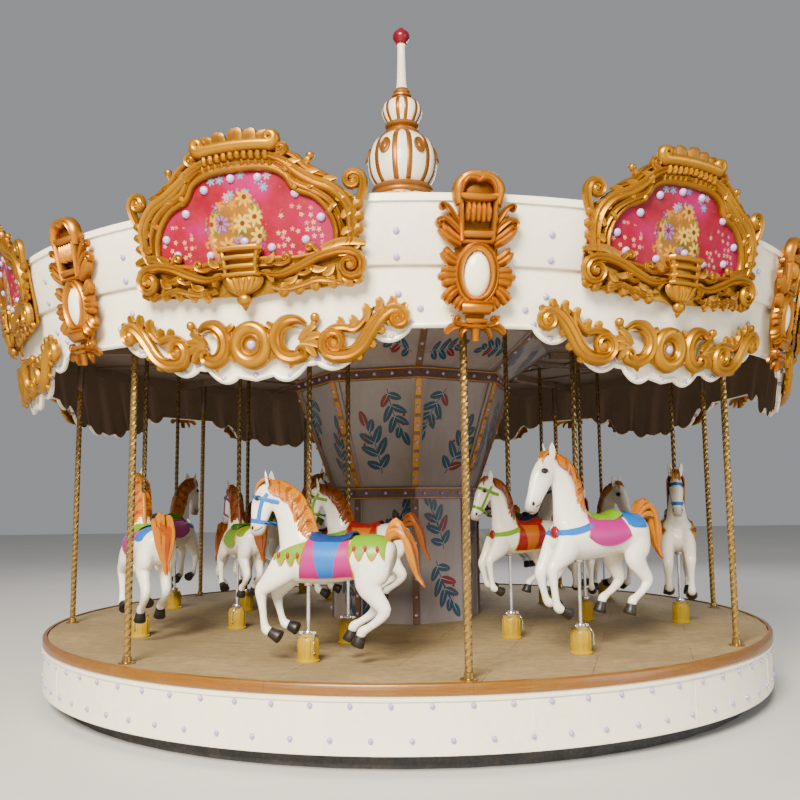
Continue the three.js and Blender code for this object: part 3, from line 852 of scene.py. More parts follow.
def makePrint():
    # A bouquet on a magenta ground with sprays of small blossoms, laid out on the flat panel's own map
    finish = Finish("blossomPrint", 0.5, specular=0.12)
    place = finish.add("UVMap", uv_map="panel").outputs[0]
    parts = finish.split(place)
    haze = finish.add("TexNoise", {"Vector": place, "Scale": 3.2, "Detail": 2.0}).outputs["Fac"]
    ground = finish.ramp(haze, [(0.3, (0.155, 0.0, 0.007)), (0.5, (0.215, 0.0, 0.018)),
                                (0.72, (0.285, 0.0, 0.085))])

    def blossoms(scale, reach, petals, colors, heart, kept):
        cells = finish.add("TexVoronoi", {"Vector": place, "Scale": scale, "Randomness": 0.8},
                           voronoi_dimensions="2D").outputs
        arm = finish.split(finish.add("VectorMath", {0: place, 1: cells["Position"]},
                                      operation="SUBTRACT").outputs[0])
        chance = finish.add("SeparateColor", {0: cells["Color"]}).outputs
        angle = finish.times(finish.math("ARCTAN2", arm[1], arm[0]), float(petals))
        wave = finish.math("COSINE", finish.plus(angle, finish.times(chance[0], 6.0)))
        lobes = finish.times(finish.plus(finish.times(wave, 0.22), 0.78), reach)
        mask = finish.times(finish.minus(lobes, cells["Distance"]), 14.0, clamp=True)
        mask = finish.times(mask, finish.math("GREATER_THAN", chance[1], 1 - kept))
        hue = finish.ramp(chance[2], list(zip((0.0, 0.34, 0.67), colors)))
        hue.node.color_ramp.interpolation = "CONSTANT"
        petal = finish.mix(finish.times(finish.plus(wave, 1.0), 0.12), hue, shaded(colors[1], 1.5, 0.02))
        core = finish.times(finish.minus(reach * 0.28, cells["Distance"]), 22.0, clamp=True)
        return mask, finish.mix(core, petal, heart)

    def within(x, z, wide, high):
        # 1 inside an ellipse on the panel, fading at its edge
        squares = [finish.math("POWER", finish.math("DIVIDE", finish.minus(part, middle), half), 2.0)
                   for part, middle, half in ((parts[0], x, wide), (parts[1], z, high))]
        return finish.times(finish.minus(1.0, finish.plus(*squares)), 6.0, clamp=True)

    leafy = finish.ramp(haze, [(0.35, (0.03, 0.07, 0.004)), (0.5, (0.22, 0.105, 0.0)),
                               (0.65, (0.34, 0.18, 0.0))])
    ground = finish.mix(finish.times(within(0.56, 0.20, 0.17, 0.22), 0.75), ground, leafy)
    sprays = finish.math("MAXIMUM", within(0.16, 0.16, 0.15, 0.13), within(0.94, 0.18, 0.15, 0.17))
    for area, scale, reach, petals, kept, heart, colors in (
            (sprays, 24.0, 0.40, 5, 0.7, (0.40, 0.24, 0.01),
             ((0.34, 0.035, 0.12), (0.40, 0.22, 0.07), (0.42, 0.14, 0.17))),
            (within(0.60, 0.46, 0.26, 0.09), 13.0, 0.38, 6, 0.75, (0.45, 0.24, 0.01),
             ((0.40, 0.13, 0.26), (0.04, 0.18, 0.34), (0.52, 0.34, 0.44))),
            (within(0.56, 0.20, 0.20, 0.24), 15.0, 0.52, 5, 0.85, (0.34, 0.17, 0.0),
             ((0.065, 0.004, 0.13), (0.32, 0.105, 0.0), (0.035, 0.10, 0.005))),
            (within(0.57, 0.24, 0.17, 0.22), 9.0, 0.56, 8, 0.85, (0.10, 0.02, 0.0),
             ((0.38, 0.17, 0.0), (0.42, 0.27, 0.03), (0.11, 0.010, 0.20)))):
        mask, petal = blossoms(scale, reach, petals, colors, heart, kept)
        ground = finish.mix(finish.times(mask, area), ground, petal)
    return finish.complete(finish.dust(ground, 3.0, 0.12, (0.20, 0.12, 0.10)), (8.0, 0.34, 0.55))


def makePictures():
    bm = bmesh.new()
    outline = [(x * 1.05, 3190 + (z - 3190) * 1.06) for x, z in crest["opening"]]
    addOutline(bm, mirroredPoints(outline), 0.006, 0.026)
    sliceFine(bm, 0.12)
    panelMap = bm.loops.layers.uv.new("panel")
    for face in bm.faces:
        for loop in face.loops:
            loop[panelMap].uv = (loop.vert.co.x + 0.6, loop.vert.co.z - 2.9)
    bulbsAt(bm, [(x, z, 30) for x, z in crest["bulbs"]], crest["bulbRadius"], 1)
    bayCopies("crest_picture", bm, [makePrint(), pearl], None, crest)


makeCrestFrames()
makePictures()
print("crest frames ready")


# White boards round the rim
boards = {
    "thickness": 0.020,
    "lip": 15,
    "strip": 0.09,
    # Scallops of the lower edge: start, end, and how far each hangs below its ends, in millimetres
    "scallops": [((0, 2268), (118, 2292), 0), ((118, 2292), (325, 2345), 56), ((325, 2345), (395, 2352), 4),
                 ((395, 2352), (612, 2377), 50), ((612, 2377), (735, 2509), -34),
                 ((735, 2509), (960, 2545), 62), ((960, 2545), (1328, 2548), 0)],
    "edgeBulbs": [(0, 2290), (222, 2284), (400, 2372), (505, 2336), (650, 2440), (735, 2528), (848, 2486),
                  (960, 2566)],
    "faceBulbs": [(880, 3075), (880, 2929), (888, 2730), (1015, 2648)],
    "bulbRadius": 21,
}


def scallopEdge():
    points = []
    for (x0, z0), (x1, z1), sag in boards["scallops"]:
        steps = 12 if sag else 3
        for k in range(steps):
            share = k / steps
            drop = sag * math.sin(share * math.pi) ** 0.8
            points.append((x0 + (x1 - x0) * share, z0 + (z1 - z0) * share - drop))
    points.append(boards["scallops"][-1][1])
    return points


def makeValance():
    bm = bmesh.new()
    edge = scallopEdge()
    top = 1000 * ride["boardStepZ"] - 0.3
    reach = edge[-1][0]
    lower = [(-x, z) for x, z in reversed(edge)] + edge[1:]
    addOutline(bm, lower + [(reach, top), (-reach, top)], -boards["thickness"], 0)
    sliceFine(bm, boards["strip"])
    lip = boards["lip"] / 1000
    sweep(bm, flat(*[(x, z + 6, 0) for x, z in lower]), lip, lip, "round", 8, upright=(0, 0, 1))
    turnOutwards(bm)
    for face in bm.faces:
        if face.normal.y > 0.8 and face.calc_center_median().y > 0.018:
            face.material_index = 2
    kept = set(bm.faces)
    for side in (-1, 1):
        for x, z in boards["edgeBulbs"] + boards["faceBulbs"]:
            depth = 1000 * ride["boardStep"] if z > 1000 * ride["boardStepZ"] else 0
            if x or side > 0:
                spot = Vector((side * x, -depth, z)) / 1000
                addBall(bm, spot, boards["bulbRadius"] / 1000, squash=(1, 0.9, 1), fine=0)
    paintNew(bm, kept, 1)
    bendRound(bm, 0)
    copiesRound(bm, ride["bays"], bayAngle / 2)
    finishPiece("scalloped_board", bm, [whiteBoard, pearl, boardBack], ("valance",))


def makeCornice():
    bm = bmesh.new()
    low, high, step = ride["boardStepZ"], ride["boardTopZ"], ride["boardStep"]
    inner = boardRadius(low) - boards["thickness"]
    foot = boardRadius(low) + step
    brow = boardRadius(high) + step
    addLathe(bm, [(inner, low), (foot - 0.006, low), (foot, low + 0.006),
                  (boardRadius(high - 0.05) + step, high - 0.05), (brow + 0.006, high - 0.046),
                  (brow + 0.006, high - 0.006), (brow, high), (boardRadius(high) - boards["thickness"], high),
                  (inner, low)], 160)
    for face in bm.faces:
        middle = face.calc_center_median()
        if face.normal.dot(Vector((middle.x, middle.y, 0))) < -0.5:
            face.material_index = 1
    # Cover strips over the seams between the sheets
    middle = (low + high) / 2
    reach = boardRadius(middle) + step + 0.001
    lean = Matrix.Rotation(-math.atan(ride["boardLean"]), 4, "X")
    size = Matrix.Diagonal((0.05, 0.004, high - low - 0.02, 1))
    for k in range(ride["bays"] * 2):
        strap = bmesh.ops.create_cube(bm, size=1)["verts"]
        place = turnZ((k + 1) * bayAngle / 2) @ Matrix.Translation((0, -reach, middle)) @ lean @ size
        bmesh.ops.transform(bm, matrix=place, verts=strap)
    finishPiece("cornice_boards", bm, [whiteBoard, boardBack], ("cornice_board",))


# Gilded swag under each picture
swag = {"standOff": 0.0, "reliefDepth": 0.070}


def swagHalf(bm):
    # C-scroll beside the boss, open towards the outside, thick in its middle
    scroll(bm, [(348, 2566, 30), (296, 2596, 36), (226, 2588, 40), (172, 2540, 42), (158, 2470, 42),
                (188, 2404, 40), (250, 2376, 36), (312, 2392, 28)], 40, 46, endCurl=(22, 1.0, 1),
           ends=(0.35, 0.5), segments=12)
    scroll(bm, [(300, 2552, 40), (250, 2552, 46), (212, 2518, 50), (204, 2466, 50), (232, 2424, 46),
                (286, 2416, 40)], 13, 24, ends=(0.2, 0.2))
    leaf(bm, (210, 2402, 36), (238, 2318, 26), 32, 36, bend=0.25, lift=10)
    roundLeaf(bm, (178, 2420, 36), (112, 2372, 32), 26, 32, bend=-0.2)
    roundLeaf(bm, (186, 2566, 36), (108, 2590, 32), 25, 32, bend=0.2)
    # Fan of leaves and the ball above it
    for tipX, tipZ in ((404, 2556), (440, 2500), (436, 2436), (400, 2380)):
        roundLeaf(bm, (306, 2470, 34), (tipX, tipZ, 28), 29, 36, bend=0.08, lift=12)
    roundLeaf(bm, (372, 2530, 36), (398, 2590, 34), 18, 26)
    addBall(bm, Vector((0.402, -0.036, 2.602)), 0.030, fine=2)
    # Long acanthus stem with a volute at both ends and a second rib beside it
    scroll(bm, [(512, 2374, 38), (600, 2380, 42), (676, 2428, 44), (728, 2505, 44), (782, 2578, 44),
                (842, 2628, 42), (880, 2634, 40)], 37, 48, startCurl=(80, 1.5, -1), endCurl=(50, 1.4, -1),
           segments=12)
    scroll(bm, [(548, 2410, 50), (624, 2432, 54), (676, 2490, 54), (726, 2566, 54), (786, 2628, 50),
                (850, 2668, 42)], 15, 24, ends=(0.3, 0.2))
    scroll(bm, [(440, 2500, 34), (500, 2536, 38), (572, 2540, 40), (632, 2530, 40), (690, 2576, 38),
                (750, 2652, 32)], 26, 38, ends=(0.5, 0.25))
    for base, tip, width in (((540, 2520, 36), (536, 2596, 28), 27), ((612, 2510, 38), (612, 2604, 28), 29),
                             ((690, 2570, 38), (688, 2666, 28), 29), ((760, 2622, 38), (770, 2704, 28), 27),
                             ((826, 2652, 36), (858, 2712, 28), 26), ((884, 2650, 34), (936, 2672, 28), 22)):
        roundLeaf(bm, base, tip, width, 38, bend=-0.22, lift=12)
    for base, tip in (((700, 2446, 38), (746, 2420, 30)), ((750, 2520, 38), (800, 2500, 30)),
                      ((622, 2384, 38), (664, 2352, 30)), ((812, 2584, 36), (836, 2542, 30)),
                      ((470, 2440, 34), (446, 2392, 28))):
        roundLeaf(bm, base, tip, 26, 34, bend=0.25, lift=10)
    roundLeaf(bm, (440, 2500, 30), (520, 2520, 32), 24, 30)
    leaf(bm, (70, 2520, 26), (180, 2540, 34), 24, 30)


def makeSwags():
    bm = bmesh.new()
    swagHalf(bm)
    mirrorFlat(bm)
    ring = [(100 * math.sin(k * math.pi / 16), 2463 + 100 * math.cos(k * math.pi / 16), 30)
            for k in range(35)]
    sweep(bm, flat(*ring), 0.044, 0.054, "relief", 14)
    # Hollow dish with a lip inside the ring
    dish = bmesh.ops.create_cone(bm, cap_ends=True, segments=28, radius1=0.064, radius2=0.020,
                                 depth=0.044)["verts"]
    place = Matrix.Translation((0, -0.020, 2.463)) @ Matrix.Rotation(-math.pi / 2, 4, "X")
    bmesh.ops.transform(bm, matrix=place, verts=dish)
    inner = [(58 * math.sin(k * math.pi / 14), 2463 + 58 * math.cos(k * math.pi / 14), 46) for k in range(31)]
    sweep(bm, flat(*inner), 0.010, 0.020, "relief", 8)
    bulbsAt(bm, [(0, 2463, 42)], 29, 1)
    bayCopies("swag", bm, [gilt, pearl], None, swag)


# Copper cartouche over each rim pole
cartouche = {
    "standOff": 0.031,
    "plateDepth": 22,
    "reliefDepth": 0.095,
    "plate": [(0, 3340), (80, 3325), (112, 3240), (100, 3130), (140, 3060), (118, 2980), (130, 2900),
              (150, 2820), (130, 2740), (110, 2680), (60, 2610), (44, 2560), (0, 2550)],
}


def lobe(bm, base, tip, half, ribs, bend=0.0, lift=8):
    # A blunt feather made of parallel ribs that reach out together
    along = Vector((tip[0] - base[0], tip[1] - base[1])).normalized()
    for k in range(ribs):
        shift = half * (2 * k - ribs + 1) / ribs
        back = 10 * abs(2 * k - ribs + 1)
        sideX, sideZ = -along.y * shift, along.x * shift
        roundLeaf(bm, (base[0] + sideX * 0.7, base[1] + sideZ * 0.7, base[2]),
                  (tip[0] + sideX - along.x * back, tip[1] + sideZ - along.y * back, tip[2]),
                  half * 1.25 / ribs + 4, 50, bend=bend, lift=lift, kind="relief")


def cartoucheHalf(bm):
    # Thick ribbed feathers round the oval in five groups, with the board showing between them
    for base, tip, half, ribs, bend in (
            ((88, 2990, 30), (216, 3088, 38), 30, 2, -0.05), ((96, 2880, 30), (200, 2962, 34), 32, 2, -0.08),
            ((104, 2810, 30), (222, 2808, 36), 58, 3, 0.0), ((112, 2742, 30), (190, 2660, 34), 32, 2, 0.06),
            ((76, 2690, 30), (128, 2622, 34), 30, 2, 0.0)):
        lobe(bm, base, tip, half, ribs, bend)
    scroll(bm, [(90, 3040, 36), (132, 3086, 40), (176, 3120, 42), (206, 3118, 42)], 22, 44,
           endCurl=(19, 1.1, -1), ends=(0.8, 1))
    scroll(bm, [(92, 3080, 36), (122, 3130, 38), (158, 3184, 40), (186, 3202, 40)], 18, 42,
           endCurl=(14, 1.1, -1), ends=(0.8, 1))
    scroll(bm, [(92, 3050, 30), (132, 3106, 34), (172, 3150, 34)], 13, 34, ends=(0.9, 0.5), kind="relief")
    # Side bar of the tall panel, the domed hood and its heart-shaped lip
    scroll(bm, [(84, 3000, 40), (88, 3060, 44), (92, 3140, 48), (98, 3216, 52)], 17, 48, ends=(1, 1),
           kind="relief")
    scroll(bm, [(0, 3358, 46), (60, 3350, 46), (104, 3312, 46), (116, 3258, 46), (106, 3200, 44)], 32, 62,
           ends=(1, 0.7), kind="relief", segments=12)
    scroll(bm, [(0, 3322, 86), (24, 3334, 90), (60, 3330, 88), (84, 3300, 82), (92, 3262, 74)], 11, 26,
           ends=(1, 0.8), kind="relief", segments=8)
    # Pedestal volutes and the small leaf arms at the foot
    scroll(bm, [(36, 2548, 44), (70, 2540, 44), (108, 2548, 42)], 18, 34, endCurl=(21, 1.2, 1), ends=(0.7, 1))
    roundLeaf(bm, (92, 2534, 36), (172, 2492, 28), 26, 32, bend=0.18)
    leaf(bm, (104, 2566, 36), (142, 2592, 28), 18, 26, bend=0.1)
    scroll(bm, [(34, 2522, 36), (64, 2514, 38), (84, 2486, 36), (80, 2456, 28)], 15, 26, ends=(0.7, 0.3))


def makeCartouches():
    bm = bmesh.new()
    cartoucheHalf(bm)
    mirrorFlat(bm)
    # Oval rim, hood and lower lip
    count = 28
    for wide, high, half, rise in ((92, 144, 18, 54), (116, 166, 17, 40)):
        rim = [(wide * math.sin(k * 2 * math.pi / count), 2820 + high * math.cos(k * 2 * math.pi / count), 40)
               for k in range(count + 2)]
        sweep(bm, flat(*rim), half / 1000, rise / 1000, "relief", 10)
    addEgg(bm, (0, -0.034, 3.268), (0.106, 0.030, 0.086), 24, 14)
    lip = flat((-100, 3246, 58), (-62, 3236, 76), (0, 3232, 84), (62, 3236, 76), (100, 3246, 58))
    sweep(bm, smoothRoute(lip), 0.020, 0.034, "relief", 10)
    # Drapery folds hang in the tall panel, over a roll
    for k in range(-2, 3):
        roundLeaf(bm, (k * 27, 3206, 56), (k * 29, 3108 - 6 * (k % 2), 58), 18, 36, kind="relief")
    for z, reach, half, rise in ((3038, 82, 24, 44), (2998, 78, 14, 34), (2634, 72, 38, 50),
                                 (2660, 74, 12, 58), (2560, 46, 17, 42), (2530, 40, 13, 38)):
        bar = flat((-reach, z, 42), (-reach / 2, z - 3, 52), (0, z - 4, 56), (reach / 2, z - 3, 52),
                   (reach, z, 42))
        sweep(bm, bar, half / 1000, rise / 1000, "relief", 10)
    # Stem of the tassel
    stem = flat((0, 2560, 42), (0, 2530, 42), (0, 2505, 42), (0, 2475, 42), (0, 2446, 42))
    sweep(bm, stem, [0.040, 0.036, 0.028, 0.026, 0.025], [0.038, 0.034, 0.030, 0.028, 0.026], "relief", 12)
    addOutline(bm, mirroredPoints(cartouche["plate"]), 0, cartouche["plateDepth"] / 1000)
    kept = set(bm.faces)
    addEgg(bm, (0, -0.034, 2.820), (0.080, 0.058, 0.131), 24, 16)
    paintNew(bm, kept, 1)
    bayCopies("cartouche_moulding", bm, [copperGilt, whiteBoard], "cartouche", cartouche, 0)


makeValance()
makeCornice()
makeSwags()
makeCartouches()
print("boards, swags and cartouches ready")


# Roof skin with raised seams, and the underside that shows from the ground
roof = {"seams": 24, "segments": 144, "edgeZ": 3.2853, "topZ": 4.47, "topRadius": 0.3, "sag": 0.10}


def makeRoof():
    bm = bmesh.new()
    rim = boardRadius(3.255) - ride["boardStep"] + 0.008
    low, high, inner = roof["edgeZ"], roof["topZ"], roof["topRadius"]
    profile = [(0, high)]
    for k in range(13):
        share = k / 12
        drop = (low - high) * share - roof["sag"] * 0.3 * math.sin(share * math.pi)
        profile.append((inner + (rim - inner) * share, high + drop))
    profile += [(rim, low - 0.028), (rim - 0.06, low - 0.03), (inner, high - 0.14), (0, high - 0.14)]
    addLathe(bm, profile, roof["segments"])
    seams = bmesh.new()
    route = [Vector((0, -radius, z + 0.004)) for radius, z in profile[1:14]]
    sweep(seams, route, 0.014, 0.012, "round", 6, upright=(0, 0, 1))
    copiesRound(seams, roof["seams"])
    turnOutwards(seams)
    joinInto(bm, seams)
    finishPiece("roof_skin", bm, [makeRoofSkin()], ("roof",))


def makeRoofSkin():
    finish = Finish("roofSkin", 0.5)
    tone = finish.mottle(1.2, 6.0, (0.74, 0.73, 0.68), (0.66, 0.65, 0.60))
    return finish.complete(finish.dust(tone, 1.6, 0.6, (0.42, 0.38, 0.30)), (6.0, 0.4, 0.75),
                           (9.0, 3.0, 0.15, 0.01))


ceiling = {"beamDrop": 0.07, "beamWide": 0.06, "battenRadii": (1.95, 2.62), "drumRadius": 1.44}


def atHorses(form):
    # A copy of the form on the axis of every horse
    mesh = toMesh("form", form)
    bm = bmesh.new()
    for radius in ride["rowRadii"].values():
        for k in bays:
            copy = mesh.copy()
            copy.transform(turnZ((k + 0.5) * bayAngle) @ Matrix.Translation((0, -radius, 0)))
            bm.from_mesh(copy)
            bpy.data.meshes.remove(copy)
    bpy.data.meshes.remove(mesh)
    return bm


def makeCeilingFrame():
    # Beams over the poles, lighter pairs over the horses, and battens round the ceiling
    bm = bmesh.new()
    under = ride["ceilingZ"]
    reach = boardRadius(under) - 0.03
    for k in range(2 * ride["bays"]):
        turn = turnZ(k * bayAngle / 2)
        if k % 2:
            sides, wide, drop, inner = (-0.06, 0.06), 0.6, 0.45, ceiling["drumRadius"] - 0.03
        else:
            sides, wide, drop, inner = (0,), 1, 1, ceiling["drumRadius"]
        wide, drop = ceiling["beamWide"] * wide, ceiling["beamDrop"] * drop
        low = under - drop / 2 - 0.001
        for x in sides:
            addBar(bm, turn @ Vector((x, -inner, low)), turn @ Vector((x, -reach, low)), wide, drop)
    for radius in ceiling["battenRadii"]:
        for k in range(2 * ride["bays"]):
            ends = [turnZ((k + step) * bayAngle / 2) @ Vector((0, -radius, under - 0.012)) for step in (0, 1)]
            addBar(bm, ends[0], ends[1], 0.045, 0.022)
    finishPiece("ceiling_frame", bm, [makeMetalPaint("ceilingFrame", (0.10, 0.055, 0.03), 0.55, 0.1)])
    # Guide collars where the horse poles pass
    collar = bmesh.new()
    addLathe(collar, [(0.021, under - 0.05), (0.034, under - 0.048), (0.036, under - 0.012),
                      (0.058, under - 0.010), (0.058, under - 0.001), (0.021, under - 0.001),
                      (0.021, under - 0.05)], 16)
    guideMetal = makeMetalPaint("guideMetal", (0.25, 0.20, 0.14), 0.4, 0.7)
    finishPiece("pole_guides", atHorses(collar), [guideMetal])


def sheetJoints(finish, half):
    # The angle round the axis, the height, and a mask of the joints between sixteen lengths
    parts = finish.split(finish.place())
    angle = finish.math("ARCTAN2", parts[0], parts[1])
    wave = finish.math("ABSOLUTE", finish.math("SINE", finish.times(angle, 8.0)))
    return angle, parts[2], finish.math("LESS_THAN", wave, half)


def makeCeilingBoards():
    # Dull brown sheets with seams from the middle outwards
    finish = Finish("ceilingBoards", 0.7)
    _, _, seam = sheetJoints(finish, 0.03)
    tone = finish.mottle(2.5, 5.0, (0.20, 0.145, 0.105), (0.14, 0.10, 0.075))
    tone = finish.dust(tone, 2.0, 0.5, (0.26, 0.21, 0.16))
    finish.bump(seam, 0.3, -0.004)
    return finish.complete(finish.mix(seam, tone, (0.035, 0.022, 0.015)), (7.0, 0.55, 0.85))


# Twisted brass tubes
poles = {"radius": 0.0245, "twist": 26.0, "sleeveRadius": 0.032, "sleeveTop": 2.989, "sleeveLow": 2.60,
         "flange": 0.055}


def addTwisted(bm, radius, low, high, twist, points=10, groove=0.08, step=0.02):
    # A tube with spiral grooves, extruded upwards and turned a little at each step
    ring = bmesh.ops.create_circle(bm, cap_ends=True, radius=radius, segments=points)["verts"]
    for i, vert in enumerate(ring):
        if i % 2:
            vert.co *= 1 - groove
    bmesh.ops.translate(bm, vec=(0, 0, low), verts=ring)
    edges = list({edge for vert in ring for edge in vert.link_edges})
    count = max(2, round((high - low) / step))
    for _ in range(count):
        grown = bmesh.ops.extrude_edge_only(bm, edges=edges)["geom"]
        ring, edges = pick(grown, BMVert), pick(grown, BMEdge)
        bmesh.ops.translate(bm, vec=(0, 0, (high - low) / count), verts=ring)
        spinVerts(bm, twist * (high - low) / count, ring)
    bmesh.ops.contextual_create(bm, geom=edges)


def makeRimPoles():
    bm = bmesh.new()
    foot = ride["deckTop"] + 0.0003
    sleeve, low, high, flange = [poles[key] for key in ("sleeveRadius", "sleeveLow", "sleeveTop", "flange")]
    addTwisted(bm, poles["radius"], foot + 0.02, low + 0.02, poles["twist"])
    addLathe(bm, [(0, foot), (flange, foot), (flange, foot + 0.008), (0.034, foot + 0.012),
                  (0.030, foot + 0.045), (0.025, foot + 0.05), (0, foot + 0.05)], 20)
    kept = set(bm.faces)
    addLathe(bm, [(0, low), (0.028, low), (sleeve, low + 0.012), (sleeve, high - 0.03), (0.05, high - 0.02),
                  (0.05, high), (0, high)], 20)
    paintNew(bm, kept, 1)
    turnOutwards(bm)
    bmesh.ops.translate(bm, vec=(0, -ride["poleCircle"], 0), verts=bm.verts[:])
    eachBay("twisted_pole", bm, [brass, poleSleeve], "rim_pole", 0, 25)


brass = makeBrass("twistedBrass")
poleSleeve = makeMetalPaint("poleSleeve", (0.085, 0.045, 0.02), 0.45, 0.3)


# Floor boards, edge strip and skirt
deck = {
    "stripTop": 0.512,
    "stripOut": 3.134,
    "skirtOut": 3.12,
    "skirtLow": 0.109,
    "skirtHigh": 0.4397,
    "bulbRadius": 0.017,
    "bulbRows": ((0.385, 0.0), (0.195, 0.5)),
    "bulbCount": 83,
    "panels": 16,
}


def makeDeckBoards():
    # Plywood sheets with straight seams, worn and dusty
    finish = Finish("deckBoards", 0.8)
    turned = finish.add("Mapping", {"Vector": finish.place(), "Rotation": (0, 0, 0.39)}).outputs[0]
    brick = finish.add("TexBrick", {
        "Vector": turned, "Scale": 1.0, "Mortar Size": 0.0035, "Mortar Smooth": 0.2, "Brick Width": 1.22,
        "Row Height": 0.61, "Color1": (0.285, 0.198, 0.080), "Color2": (0.24, 0.168, 0.068),
        "Mortar": (0.07, 0.045, 0.02)}).outputs
    grain = finish.noise(2.2, 8.0, 0.7, (1.0, 7.0, 1.0))
    tone = finish.mix(finish.times(grain, 0.45), brick["Color"], (0.17, 0.115, 0.058))
    tone = finish.dust(tone, 1.4, 0.85, (0.355, 0.258, 0.115))
    tone = finish.dust(tone, 5.5, 0.45, (0.145, 0.10, 0.055))
    finish.roughness(grain, 0.65, 0.95)
    finish.bump(finish.plus(finish.times(brick["Fac"], -1.0), finish.times(grain, 0.3)), 0.35, 0.004)
    return finish.complete(tone)


def makeRimWood():
    # Varnished strip in lengths, with its grain running round the edge
    finish = Finish("rimWood", 0.4, coat=0.25)
    angle, height, joint = sheetJoints(finish, 0.008)
    along = finish.add("CombineXYZ", {0: finish.times(angle, 3.0), 2: finish.times(height, 60.0)}).outputs[0]
    grain = finish.add("TexNoise", {"Vector": along, "Scale": 4.0, "Detail": 8.0,
                                    "Roughness": 0.7}).outputs["Fac"]
    tone = finish.ramp(grain, [(0.3, (0.10, 0.029, 0.0)), (0.55, (0.19, 0.070, 0.001)),
                               (0.75, (0.26, 0.115, 0.003))])
    tone = finish.dust(finish.mix(joint, tone, (0.12, 0.04, 0.01)), 5.0, 0.35, (0.19, 0.115, 0.03))
    finish.roughness(grain, 0.22, 0.5)
    finish.bump(grain, 0.1, 0.003)
    return finish.complete(tone)


def makeFloorEdge():
    low = ride["deckTop"] - 0.06
    top = deck["stripTop"]
    out = deck["stripOut"]
    inner = ride["deckRadius"] + 0.0003
    bm = bmesh.new()
    addLathe(bm, [(inner, low), (out - 0.008, low), (out, low + 0.008), (out, top - 0.014),
                  (out - 0.006, top - 0.004), (out - 0.014, top), (inner, top), (inner, low)], 180)
    finishPiece("edge_strip", bm, [makeRimWood()], ("deck_rim",))
    # Skirt in sheets with a bead under the strip, a turned-in foot and two rows of bulbs
    bm = bmesh.new()
    outer = deck["skirtOut"]
    high = deck["skirtHigh"]
    foot = deck["skirtLow"]
    addLathe(bm, [(outer - 0.022, foot), (outer, foot), (outer + 0.002, foot + 0.006),
                  (outer, foot + 0.014), (outer, high - 0.034), (outer + 0.010, high - 0.030),
                  (outer + 0.013, high - 0.020), (outer + 0.010, high - 0.010),
                  (outer - 0.002, high - 0.007), (outer - 0.002, high), (outer - 0.022, high),
                  (outer - 0.022, foot)], 180)
    for k in range(deck["panels"]):
        angle = (k + 0.3) * 2 * math.pi / deck["panels"]
        strap = bmesh.ops.create_cube(bm, size=1)["verts"]
        place = (turnZ(angle) @ Matrix.Translation((0, -outer, (foot + high) / 2 - 0.01))
                 @ Matrix.Diagonal((0.022, 0.004, high - foot - 0.05, 1)))
        bmesh.ops.transform(bm, matrix=place, verts=strap)
    kept = set(bm.faces)
    for z, shift in deck["bulbRows"]:
        for k in range(deck["bulbCount"]):
            angle = (k + shift) * 2 * math.pi / deck["bulbCount"]
            addBall(bm, turnZ(angle) @ Vector((0, -outer - 0.003, z)), deck["bulbRadius"], fine=0)
    paintNew(bm, kept, 1)
    finishPiece("skirt_sheets", bm, [whiteBoard, pearl], ("skirt",))


sockets = {"radius": 0.069, "top": 0.690, "ribs": 12}


def makeSockets():
    # Yellow moulded covers round the rod guides, with a chromed clamp on top and a small hanging pin
    form = bmesh.new()
    foot, wide, top = ride["deckTop"], sockets["radius"], sockets["top"]
    addLathe(form, [(0.020, foot + 0.001), (wide + 0.008, foot + 0.001), (wide + 0.009, foot + 0.012),
                    (wide + 0.001, foot + 0.02), (wide - 0.002, foot + 0.06), (wide, foot + 0.075),
                    (wide, foot + 0.09), (wide - 0.002, foot + 0.105), (wide - 0.001, top - 0.055),
                    (wide - 0.006, top - 0.034), (wide - 0.022, top - 0.018), (0.040, top - 0.012),
                    (0.020, top - 0.012), (0.020, foot + 0.001)], 36)
    for k in range(sockets["ribs"]):
        rib = turnZ(k * 2 * math.pi / sockets["ribs"])
        ends = [rib @ Vector((0, -wide + 0.002, z)) for z in (foot + 0.03, top - 0.045)]
        addBar(form, ends[0], ends[1], 0.008, 0.008, up=rib @ Vector((0, -1, 0)), bevel=0.002)
    kept = set(form.faces)
    addLathe(form, [(0.020, top - 0.014), (0.036, top - 0.014), (0.038, top - 0.010), (0.038, top + 0.004),
                    (0.034, top + 0.012), (0.020, top + 0.012), (0.020, top - 0.014)], 24)
    for side in (-1, 1):
        addBar(form, (side * 0.034, -0.01, top - 0.002), (side * 0.060, -0.01, top - 0.002), 0.014, 0.022,
               bevel=0.003)
    addBar(form, (0.052, -0.018, top - 0.004), (0.058, -0.060, top - 0.05), 0.006, 0.006, bevel=0.001)
    addBar(form, (0.058, -0.060, top - 0.05), (0.060, -0.062, top - 0.115), 0.006, 0.006, bevel=0.001)
    addBall(form, Vector((0.060, -0.062, top - 0.122)), 0.010, fine=1)
    paintNew(form, kept, 1)
    yellow = makeGloss("socketYellow", (0.42, 0.262, 0.0), (0.34, 0.205, 0.0), 0.42, 0.04, 0.3,
                       (0.17, 0.10, 0.01), 9.0)
    finishPiece("socket_covers", atHorses(form), [yellow, chrome])


chrome = makeMetalPaint("wornChrome", (0.62, 0.62, 0.62), 0.18, 0.95, 0.35)

makeRoof()
makeCeilingFrame()
makeRimPoles()
makeFloorEdge()
makeSockets()
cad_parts["ceiling"].material_slots[0].material = makeCeilingBoards()
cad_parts["deck"].material_slots[0].material = makeDeckBoards()
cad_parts["base_frame"].material_slots[0].material = makeMetalPaint("basePaint", (0.016, 0.016, 0.018),
                                                                         0.6, 0.1, 0.3)
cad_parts["centre_post"].material_slots[0].material = makeMetalPaint("postPaint", (0.28, 0.29, 0.30),
                                                                          0.5, 0.3)
print("roof, ceiling, poles, floor and skirt ready")


